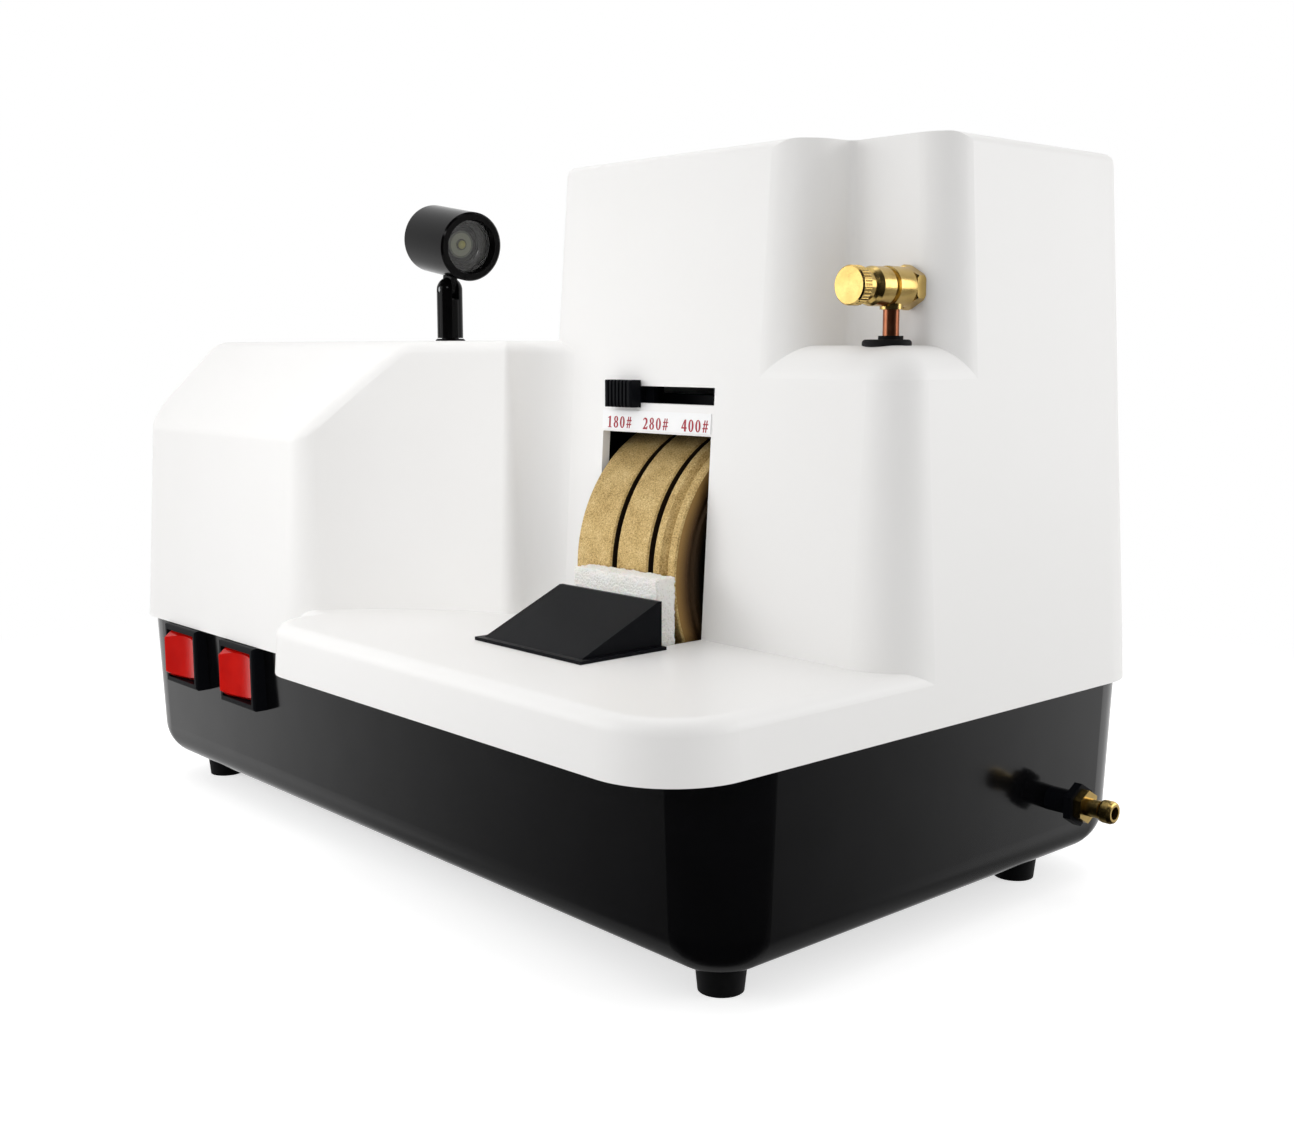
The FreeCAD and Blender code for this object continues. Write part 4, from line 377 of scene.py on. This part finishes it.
# 180 grit is about 0.08 mm; drawn as 0.5 mm grains so that it shows
grit = add_node(tree, "ShaderNodeTexNoise", {
    "Vector": where, "Scale": 1900.0, "Detail": 3.0, "Roughness": 0.6})
patches = add_node(tree, "ShaderNodeTexNoise", {"Vector": where, "Scale": 160.0, "Detail": 3.0})
mottle = add_node(tree, "ShaderNodeMix", {
    "Factor": 0.25, 2: grit.outputs["Fac"], 3: patches.outputs["Fac"]}, data_type="FLOAT")
colours = add_node(tree, "ShaderNodeValToRGB", {0: mottle.outputs[0]})
stops = colours.color_ramp.elements
stops[0].position = 0.33
stops[0].color = srgb("96773f")
stops[1].position = 0.68
stops[1].color = srgb("f0dca4")
stops.new(0.5).color = srgb("d3b374")
# painted shade: the flat sides and all inside the rim, which never grind, are painted dark, for the
# shade that falls in the gaps between the wheels
axle_places = {joint["name"]: Vector(joint["pos_m"])
               for joint in frame["joints"] if "pos_m" in joint}
from_axis = add_node(tree, "ShaderNodeVectorMath", {0: where, 1: axle_places["arbor_spin"]},
                     operation="SUBTRACT")
across = add_node(tree, "ShaderNodeVectorMath", {0: from_axis.outputs[0], 1: (0, 1, 1)},
                  operation="MULTIPLY")
radius = add_node(tree, "ShaderNodeVectorMath", {0: across.outputs[0]}, operation="LENGTH")
rim_radius = 0.0535
flange_radius = 0.0425
inward = add_node(tree, "ShaderNodeMapRange", {
    "Value": radius.outputs["Value"], "From Min": rim_radius, "From Max": flange_radius})
# colours of the painted shade: dark brown at the rim, near black by the flange
painted_side_shade = add_node(tree, "ShaderNodeValToRGB", {0: inward.outputs[0]}, name="painted_shade_colours")
stops = painted_side_shade.color_ramp.elements
stops[0].color = srgb("33261a")
stops[1].color = srgb("120d08")
stops.new(0.35).color = srgb("241a10")
facing = add_node(tree, "ShaderNodeSeparateXYZ", {
    0: add_node(tree, "ShaderNodeTexCoord").outputs["Normal"]})
sideways = add_node(tree, "ShaderNodeMath", {0: facing.outputs["X"]}, operation="ABSOLUTE")
side = add_node(tree, "ShaderNodeMapRange", {
    "Value": sideways.outputs[0], "From Min": 0.8, "From Max": 0.95})
inside = add_node(tree, "ShaderNodeMapRange", {
    "Value": inward.outputs[0], "From Min": 0.1, "From Max": 0.2})
# where the painted shade goes: the flat sides and everything inside the rim
painted_shade_mask = add_node(tree, "ShaderNodeMath", {0: side.outputs[0], 1: inside.outputs[0]},
                    operation="MAXIMUM")
# the bronze colours, with the painted shade laid over the flat sides and inside the rim
bronze_with_painted_shade = add_node(tree, "ShaderNodeMix", {
    "Factor": painted_shade_mask.outputs[0], 6: colours.outputs["Color"], 7: painted_side_shade.outputs["Color"]},
    data_type="RGBA")
tree.links.new(bronze_with_painted_shade.outputs[2], shader.inputs["Base Color"])
sandiness = add_node(tree, "ShaderNodeMapRange", {
    "Value": grit.outputs["Fac"], "To Min": 0.42, "To Max": 0.62})
tree.links.new(sandiness.outputs[0], shader.inputs["Roughness"])
bite = add_node(tree, "ShaderNodeBump", {
    "Height": grit.outputs["Fac"], "Strength": 0.55, "Distance": 0.0004})
tree.links.new(bite.outputs["Normal"], shader.inputs["Normal"])
dress(bronze, "wheel_coarse", "wheel_medium")

# the outer side of the last wheel gets a lighter copy of the painted shade: bronze near the rim and
# darker further in
lighter_painted_shade_bronze = bronze.copy()
lighter_painted_shade_bronze.name = "lighter_painted_shade_diamond_bronze"
stops = lighter_painted_shade_bronze.node_tree.nodes["painted_shade_colours"].color_ramp.elements
stops[0].color = srgb("a07c44")
stops[1].color = srgb("5a4020")
dress(lighter_painted_shade_bronze, "wheel_fine")

# ground steel: a cool mirror, drawn out across the grinding marks
ground, tree, shader, where = new_finish("ground_steel")
shader.inputs["Metallic"].default_value = 1.0
# grinding marks round the shaft, drawn 0.6 mm apart, coarser than they are, so that
# they show
marks = add_node(tree, "ShaderNodeTexWave", {"Vector": where, "Scale": 500.0, "Distortion": 3.0},
                 bands_direction="X")
tint = add_node(tree, "ShaderNodeMix", {
    "Factor": marks.outputs["Fac"], 6: srgb("9da0a3"), 7: srgb("bfc1c3")}, data_type="RGBA")
tree.links.new(tint.outputs[2], shader.inputs["Base Color"])
shine = add_node(tree, "ShaderNodeMapRange", {
    "Value": marks.outputs["Fac"], "To Min": 0.18, "To Max": 0.3})
tree.links.new(shine.outputs[0], shader.inputs["Roughness"])
dress(ground, "arbor_shaft", "wheel_flange_inner", "wheel_flange_outer")

# ---------------------------------------------------------------------------
# Black mouldings round the wheels
# Splash chamber, spacers, seal, sponge holder, selector rail and knob: ABS and
# acetal moulded black with a fine spark-eroded texture.
satin_black, tree, shader, where = new_finish("textured_black_ABS")
eroded = add_node(tree, "ShaderNodeTexNoise", {"Vector": where, "Scale": 1800.0, "Detail": 2.0})
tint = add_node(tree, "ShaderNodeMix", {
    "Factor": eroded.outputs["Fac"], 6: srgb("0b0c0f"), 7: srgb("131418")}, data_type="RGBA")
tree.links.new(tint.outputs[2], shader.inputs["Base Color"])
shader.inputs["Specular IOR Level"].default_value = 0.05
satin = add_node(tree, "ShaderNodeMapRange", {
    "Value": eroded.outputs["Fac"], "To Min": 0.3, "To Max": 0.46})
tree.links.new(satin.outputs[0], shader.inputs["Roughness"])
skin = add_node(tree, "ShaderNodeBump", {
    "Height": eroded.outputs["Fac"], "Strength": 0.25, "Distance": 0.0001})
tree.links.new(skin.outputs["Normal"], shader.inputs["Normal"])
dress(satin_black, "sponge_holder", "slider_knob", "drip_carriage", "slider_rail",
      "switch_housing_1", "switch_housing_2", "power_gland", "bulkhead_fitting")

# plain polypropylene: darker and duller than the ABS, with some dust in its corners
dull_black, tree, shader, where = new_finish("matt_black_polypropylene")
dust = add_node(tree, "ShaderNodeTexNoise", {"Vector": where, "Scale": 120.0, "Detail": 5.0})
tint = add_node(tree, "ShaderNodeMix", {
    "Factor": dust.outputs["Fac"], 6: srgb("050505"), 7: srgb("0d0c0b")}, data_type="RGBA")
tree.links.new(tint.outputs[2], shader.inputs["Base Color"])
shader.inputs["Specular IOR Level"].default_value = 0.15
matt = add_node(tree, "ShaderNodeMapRange", {
    "Value": dust.outputs["Fac"], "To Min": 0.6, "To Max": 0.8})
tree.links.new(matt.outputs[0], shader.inputs["Roughness"])
dress(dull_black, "wheel_chamber", "shaft_seal", "wheel_spacers", "filler_ring", "filler_cap")

# ---------------------------------------------------------------------------
# Cooling sponge
# A cut block of white open-cell foam standing in the holder, its top edge rough
# and its faces pitted; it wets the wheels.
foam, tree, shader, where = new_finish("white_open_cell_foam")
shader.inputs["Roughness"].default_value = 0.95
shader.inputs["Subsurface Weight"].default_value = 0.2
shader.inputs["Subsurface Scale"].default_value = 0.001
# cells 0.5 to 1 mm across
cells = add_node(tree, "ShaderNodeTexVoronoi", {"Vector": where, "Scale": 1100.0})
stain = add_node(tree, "ShaderNodeTexNoise", {"Vector": where, "Scale": 90.0, "Detail": 3.0})
tint = add_node(tree, "ShaderNodeMix", {
    "Factor": stain.outputs["Fac"], 6: srgb("f1efe8"), 7: srgb("fbfaf7")}, data_type="RGBA")
# painted shade: the pits of the cells are painted a darker grey-cream
pit_shade_mask = add_node(tree, "ShaderNodeMapRange", {
    "Value": cells.outputs["Distance"], "From Max": 0.35, "To Min": 1.0, "To Max": 0.0})
foam_with_pit_shade = add_node(tree, "ShaderNodeMix", {
    "Factor": pit_shade_mask.outputs[0], 6: tint.outputs[2], 7: srgb("d9d6cb")}, data_type="RGBA")
tree.links.new(foam_with_pit_shade.outputs[2], shader.inputs["Base Color"])
pits = add_node(tree, "ShaderNodeBump", {
    "Height": cells.outputs["Distance"], "Strength": 0.7, "Distance": 0.0005})
tree.links.new(pits.outputs["Normal"], shader.inputs["Normal"])

low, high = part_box("sponge")
# the block is cut shorter than its tray at the left
cut_short = 0.012
edge_round = 0.0011
pitch = 0.0011
# how deep the knife has torn the top and the right edge, how high that band is, and how
# rough the rest is
torn = 0.0009
torn_band = 0.0016
pitted = 0.0003
low.x += cut_short
block = bmesh.new()
bmesh.ops.create_cube(block, size=1.0)
for corner in block.verts:
    corner.co = Vector([low[k] + (high[k] - low[k]) * (corner.co[k] + 0.5) for k in range(3)])
bmesh.ops.bevel(block, geom=list(block.edges), offset=edge_round, segments=3, profile=0.6,
                affect="EDGES")
for axis in range(3):
    side = Vector([float(k == axis) for k in range(3)])
    past_edge = pitch * 1.4
    cut = low[axis] + past_edge
    while cut < high[axis] - past_edge:
        bmesh.ops.bisect_plane(block, geom=block.verts[:] + block.edges[:] + block.faces[:],
                               plane_co=side * cut, plane_no=side)
        cut += pitch
block.normal_update()
for corner in block.verts:
    depth = noise.noise(corner.co * 900.0) * 0.5 + noise.noise(corner.co * 2300.0) * 0.5
    ragged = corner.co.z > high.z - torn_band or corner.co.x > high.x - torn_band
    corner.co -= corner.normal * (torn if ragged else pitted) * (0.5 + depth)
sponge_mesh = bpy.data.meshes.new("cut_sponge")
block.to_mesh(sponge_mesh)
block.free()
for face in sponge_mesh.polygons:
    face.use_smooth = True
sponge_mesh.materials.append(foam)
cut_sponge = bpy.data.objects.new("cut_sponge", sponge_mesh)
bpy.context.scene.collection.objects.link(cut_sponge)
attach(cut_sponge, "housing")
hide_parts("sponge")
dress(foam, "sponge")

# ---------------------------------------------------------------------------
# Grit label
# White vinyl strip under the selector slot, screen-printed in red with the grit
# number of each wheel in upright serif figures.

# vinyl film: smooth white with a soft gloss
vinyl, tree, shader, where = new_finish("white_vinyl")
film = add_node(tree, "ShaderNodeTexNoise", {"Vector": where, "Scale": 200.0, "Detail": 2.0})
tint = add_node(tree, "ShaderNodeMix", {
    "Factor": film.outputs["Fac"], 6: srgb("f3f3f4"), 7: srgb("fafafa")}, data_type="RGBA")
tree.links.new(tint.outputs[2], shader.inputs["Base Color"])
gloss = add_node(tree, "ShaderNodeMapRange", {
    "Value": film.outputs["Fac"], "To Min": 0.28, "To Max": 0.36})
tree.links.new(gloss.outputs[0], shader.inputs["Roughness"])
dress(vinyl, "grit_label")

# screen ink: an even dark red, flatter than the film under it
ink, tree, shader, where = new_finish("red_screen_ink")
film = add_node(tree, "ShaderNodeTexNoise", {"Vector": where, "Scale": 1500.0, "Detail": 2.0})
tint = add_node(tree, "ShaderNodeMix", {
    "Factor": film.outputs["Fac"], 6: srgb("9e0f28"), 7: srgb("b8182f")}, data_type="RGBA")
tree.links.new(tint.outputs[2], shader.inputs["Base Color"])
gloss = add_node(tree, "ShaderNodeMapRange", {
    "Value": film.outputs["Fac"], "To Min": 0.35, "To Max": 0.5})
tree.links.new(gloss.outputs[0], shader.inputs["Roughness"])


def ring(x, y, half_wide, half_high, points=40):
    """Ellipse round (x, y), as a list of points."""
    turns = [math.tau * i / points for i in range(points)]
    return [(x + half_wide * math.cos(t), y + half_high * math.sin(t)) for t in turns]


# each figure is a list of shapes and each shape an outline with its holes, one figure
# height high
figures = {
    "0": [[ring(0.31, 0.5, 0.29, 0.51), ring(0.31, 0.5, 0.13, 0.45)]],
    "1": [[[(0.08, 0), (0.56, 0), (0.56, 0.04), (0.42, 0.08), (0.42, 1), (0.37, 1),
            (0.08, 0.87), (0.08, 0.82), (0.24, 0.86), (0.24, 0.08), (0.08, 0.04)]]],
    "2": [[[(0.04, 0), (0.55, 0), (0.61, 0.27), (0.56, 0.27), (0.5, 0.17), (0.24, 0.17),
            (0.38, 0.31), (0.49, 0.45), (0.56, 0.6), (0.57, 0.74), (0.54, 0.86), (0.47, 0.95),
            (0.34, 1), (0.21, 0.98), (0.11, 0.91), (0.05, 0.78), (0.09, 0.75), (0.15, 0.83),
            (0.23, 0.87), (0.32, 0.85), (0.38, 0.78), (0.4, 0.67), (0.37, 0.52), (0.28, 0.35),
            (0.14, 0.16), (0.04, 0.06)]]],
    "4": [[[(0.02, 0.23), (0.02, 0.34), (0.39, 1), (0.52, 1), (0.52, 0.36), (0.61, 0.36),
            (0.61, 0.23), (0.52, 0.23), (0.52, 0), (0.35, 0), (0.35, 0.23)],
           [(0.11, 0.36), (0.35, 0.36), (0.35, 0.79)]]],
    "8": [[ring(0.31, 0.75, 0.24, 0.26), ring(0.31, 0.755, 0.1, 0.2)],
          [ring(0.31, 0.265, 0.28, 0.275), ring(0.31, 0.26, 0.13, 0.21)]],
    "#": [[[(0.1, 0), (0.18, 0), (0.34, 1), (0.26, 1)]],
          [[(0.36, 0), (0.44, 0), (0.6, 1), (0.52, 1)]],
          [[(0.04, 0.28), (0.62, 0.28), (0.64, 0.38), (0.06, 0.38)]],
          [[(0.09, 0.61), (0.67, 0.61), (0.69, 0.71), (0.11, 0.71)]]]}
figure_high = 0.0043
figure_pitch = 0.0036
ink_layer = 0.000002
label_lean = 3.4
label_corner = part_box("grit_label")[0]
first_line = Vector((0.0, -0.00002, 0.0006))
for text, start in (("180#", 0.0028), ("280#", 0.0229), ("400#", 0.0438)):
    corners = []
    faces = []
    for place, character in enumerate(text):
        # every shape is printed twice, a little apart, which makes the strokes heavier
        strokes = [(shape, nudge) for shape in figures[character] for nudge in (0.0, 0.05)]
        for layer, (shape, nudge) in enumerate(strokes):
            faces += [[len(corners) + i for i in triangle] for triangle in tessellate_polygon(
                [[Vector((x, y, 0.0)) for x, y in loop] for loop in shape])]
            corners += [Vector(((x + nudge) * figure_high + place * figure_pitch,
                                y * figure_high, ink_layer * layer))
                        for loop in shape for x, y in loop]
    print_mesh = bpy.data.meshes.new("grit_" + text[:3])
    print_mesh.from_pydata(corners, [], faces)
    print_mesh.materials.append(ink)
    for face in print_mesh.polygons:
        if face.normal.z < 0:
            face.flip()
    # on the strip, which leans back with the hood
    print_mesh.transform(Matrix.Translation(label_corner + first_line + Vector((start, 0.0, 0.0)))
                         @ Matrix.Rotation(math.radians(90.0 - label_lean), 4, "X"))
    printed = bpy.data.objects.new("grit_" + text[:3], print_mesh)
    bpy.context.scene.collection.objects.link(printed)
    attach(printed, "housing")

# ---------------------------------------------------------------------------
# Water tank
# Rotationally moulded natural polyethylene, milky and a little see-through, with
# a black filler ring and a lift-off cap on top of the hood.
poly, tree, shader, where = new_finish("natural_polyethylene")
shader.inputs["Transmission Weight"].default_value = 0.35
shader.inputs["Subsurface Weight"].default_value = 0.3
shader.inputs["Subsurface Scale"].default_value = 0.004
milk = add_node(tree, "ShaderNodeTexNoise", {"Vector": where, "Scale": 60.0, "Detail": 3.0})
tint = add_node(tree, "ShaderNodeMix", {
    "Factor": milk.outputs["Fac"], 6: srgb("dfe3e0"), 7: srgb("eef0ee")}, data_type="RGBA")
tree.links.new(tint.outputs[2], shader.inputs["Base Color"])
waxiness = add_node(tree, "ShaderNodeMapRange", {
    "Value": milk.outputs["Fac"], "To Min": 0.4, "To Max": 0.55})
tree.links.new(waxiness.outputs[0], shader.inputs["Roughness"])
dress(poly, "water_tank", "drain_tube")

# ---------------------------------------------------------------------------
# Water tap
# A turned brass needle valve with a knurled knob, nuts and a bonnet, screwed
# through the back of the notch; a copper pipe drops from it into the shell.

# turned brass: a warm yellow mirror with fine tool marks and a little tarnish
brass, tree, shader, where = new_finish("turned_brass")
shader.inputs["Metallic"].default_value = 1.0
# tool marks, drawn as a mottle of 0.3 to 1 mm that runs alike along all three axes, so
# that every face has it
turned = add_node(tree, "ShaderNodeTexNoise", {"Vector": where, "Scale": 900.0, "Detail": 2.0})
tarnish = add_node(tree, "ShaderNodeTexNoise", {"Vector": where, "Scale": 180.0, "Detail": 3.0})
tint = add_node(tree, "ShaderNodeMix", {
    "Factor": tarnish.outputs["Fac"], 6: srgb("bf9c56"), 7: srgb("e6ca82")}, data_type="RGBA")
tree.links.new(tint.outputs[2], shader.inputs["Base Color"])
shine = add_node(tree, "ShaderNodeMapRange", {
    "Value": turned.outputs["Fac"], "To Min": 0.18, "To Max": 0.3})
tree.links.new(shine.outputs[0], shader.inputs["Roughness"])
dress(brass, "tap_body", "tap_nut", "tap_back_nut", "tap_bonnet", "hose_barb")

# the knob's face is faced off on the lathe, so its rings stretch the highlight into a fan
faced = brass.copy()
faced.name = "faced_brass"
tree = faced.node_tree
shader = tree.nodes["Principled BSDF"]
shader.inputs["Anisotropic"].default_value = 0.9
shader.inputs["Anisotropic Rotation"].default_value = 0.25
round_axis = add_node(tree, "ShaderNodeTangent", direction_type="RADIAL", axis="Y")
tree.links.new(round_axis.outputs[0], shader.inputs["Tangent"])
dress(faced, "tap_knob")

# drawn copper, handled: redder and duller than the brass, browned in patches
copper, tree, shader, where = new_finish("drawn_copper_pipe")
shader.inputs["Metallic"].default_value = 1.0
tarnish = add_node(tree, "ShaderNodeTexNoise", {"Vector": where, "Scale": 240.0, "Detail": 4.0})
tint = add_node(tree, "ShaderNodeMix", {
    "Factor": tarnish.outputs["Fac"], 6: srgb("93543a"), 7: srgb("c98563")}, data_type="RGBA")
tree.links.new(tint.outputs[2], shader.inputs["Base Color"])
shine = add_node(tree, "ShaderNodeMapRange", {
    "Value": tarnish.outputs["Fac"], "To Min": 0.26, "To Max": 0.4})
tree.links.new(shine.outputs[0], shader.inputs["Roughness"])
dress(copper, "copper_tube")

# ---------------------------------------------------------------------------
# Rocker switches
# Two see-through red polycarbonate rockers in black bezels snapped into the
# front of the tray.
red, tree, shader, where = new_finish("red_polycarbonate")
shader.inputs["Roughness"].default_value = 0.22
shader.inputs["Specular IOR Level"].default_value = 0.3
shader.inputs["Subsurface Weight"].default_value = 0.35
shader.inputs["Subsurface Radius"].default_value = (1.0, 0.06, 0.04)
shader.inputs["Subsurface Scale"].default_value = 0.003
depth = add_node(tree, "ShaderNodeTexNoise", {"Vector": where, "Scale": 120.0, "Detail": 1.0})
tint = add_node(tree, "ShaderNodeMix", {
    "Factor": depth.outputs["Fac"], 6: srgb("b40a06"), 7: srgb("d2160c")}, data_type="RGBA")
tree.links.new(tint.outputs[2], shader.inputs["Base Color"])
dress(red, "rocker_1", "rocker_2")

# ---------------------------------------------------------------------------
# Work lamp
# Turned aluminium, black anodised: a stem in a threaded bush, and a drum head
# that tips on one cross screw, with an acrylic lens over a power LED.
anodised, tree, shader, where = new_finish("black_anodised_aluminium")
shader.inputs["Specular IOR Level"].default_value = 0.09
dye = add_node(tree, "ShaderNodeTexNoise", {"Vector": where, "Scale": 400.0, "Detail": 2.0})
tint = add_node(tree, "ShaderNodeMix", {
    "Factor": dye.outputs["Fac"], 6: srgb("040404"), 7: srgb("090809")}, data_type="RGBA")
tree.links.new(tint.outputs[2], shader.inputs["Base Color"])
sheen = add_node(tree, "ShaderNodeMapRange", {
    "Value": dye.outputs["Fac"], "To Min": 0.1, "To Max": 0.2})
tree.links.new(sheen.outputs[0], shader.inputs["Roughness"])
dress(anodised, "lamp_bush", "lamp_stem", "lamp_head")

# polished acrylic: see-through, with faint smears; its bloomed surface reflects half of
# what a bare one does
acrylic, tree, shader, where = new_finish("clear_acrylic")
shader.inputs["Transmission Weight"].default_value = 1.0
shader.inputs["IOR"].default_value = 1.49
shader.inputs["Specular IOR Level"].default_value = 0.25
smear = add_node(tree, "ShaderNodeTexNoise", {"Vector": where, "Scale": 300.0, "Detail": 2.0})
clarity = add_node(tree, "ShaderNodeMapRange", {
    "Value": smear.outputs["Fac"], "To Min": 0.01, "To Max": 0.05})
tree.links.new(clarity.outputs[0], shader.inputs["Roughness"])
dress(acrylic, "lamp_lens")

# ---------------------------------------------------------------------------
# Reflector and LED
# A black reflector cone turned in fine steps inside the head, and at its bottom
# a pale board with the phosphor dome of the LED, glued on.
head_turn = -6.0
head_tip = 9.0
board_place = (-0.0015, 0.0, 0.0218)
cone_end = (Matrix.Translation(axle_places["lamp_tilt"])
            @ Matrix.Rotation(math.radians(head_turn), 4, "Z")
            @ Matrix.Rotation(math.radians(head_tip), 4, "Y") @ Matrix.Translation(board_place))
stepped, tree, shader, where = new_finish("black_stepped_reflector")
shader.inputs["Base Color"].default_value = srgb("131311")
along = add_node(tree, "ShaderNodeMapping", {
    "Vector": where, "Location": cone_end.translation, "Rotation": cone_end.to_euler()},
    vector_type="TEXTURE")
# steps 2.4 mm apart
steps = add_node(tree, "ShaderNodeTexWave", {"Vector": along.outputs[0], "Scale": 130.0},
                 wave_type="RINGS", rings_direction="X")
polish = add_node(tree, "ShaderNodeMapRange", {
    "Value": steps.outputs["Fac"], "To Min": 0.12, "To Max": 0.3})
tree.links.new(polish.outputs[0], shader.inputs["Roughness"])
rings = add_node(tree, "ShaderNodeBump", {
    "Height": steps.outputs["Fac"], "Strength": 0.8, "Distance": 0.0005})
tree.links.new(rings.outputs["Normal"], shader.inputs["Normal"])
dress(stepped, "lamp_led")

# phosphor and solder mask: a yellow dot, a dark gap round it, and a pale satin board
board_white, tree, shader, where = new_finish("LED_board_and_phosphor")
shader.inputs["Roughness"].default_value = 0.3
along = add_node(tree, "ShaderNodeMapping", {
    "Vector": where, "Location": cone_end.translation, "Rotation": cone_end.to_euler()},
    vector_type="TEXTURE")
across = add_node(tree, "ShaderNodeVectorMath", {0: along.outputs[0], 1: (0, 1, 1)},
                  operation="MULTIPLY")
radius = add_node(tree, "ShaderNodeVectorMath", {0: across.outputs[0]}, operation="LENGTH")
board_radius = 0.0062
outward = add_node(tree, "ShaderNodeMapRange", {
    "Value": radius.outputs["Value"], "From Max": board_radius})
rings = add_node(tree, "ShaderNodeValToRGB", {"Fac": outward.outputs[0]})
rings.color_ramp.interpolation = "CONSTANT"
stops = rings.color_ramp.elements
stops[0].color = srgb("c9c46a")
stops[1].position = 0.3
stops[1].color = srgb("55573f")
stops.new(0.42).color = srgb("a6aa90")
stops.new(0.85).color = srgb("6d7162")
tree.links.new(rings.outputs["Color"], shader.inputs["Base Color"])

star = bmesh.new()
# x and radius of the turned outline: a pillar, the board on it, and the dome
outline = [(0.0024, 0.0030), (0.0082, 0.0030), (0.0084, 0.0060), (0.0091, board_radius),
           (0.0092, 0.0060), (0.0092, 0.0027), (0.0097, 0.0025), (0.0097, 0.0021),
           (0.0104, 0.0016), (0.0108, 0.0008), (0.0109, 0.00001)]
rim = [star.verts.new((x, r, 0.0)) for x, r in outline]
for first, second in zip(rim, rim[1:]):
    star.edges.new((first, second))
bmesh.ops.spin(star, geom=star.verts[:] + star.edges[:], cent=(0, 0, 0), axis=(1, 0, 0),
               angle=math.tau, steps=64)
bmesh.ops.remove_doubles(star, verts=star.verts, dist=0.00002)
bmesh.ops.recalc_face_normals(star, faces=star.faces)
star_mesh = bpy.data.meshes.new("led_star")
star.to_mesh(star_mesh)
star.free()
star_mesh.materials.append(board_white)
star_mesh.transform(cone_end)
led_star = bpy.data.objects.new("led_star", star_mesh)
bpy.context.scene.collection.objects.link(led_star)
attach(led_star, "lamp")
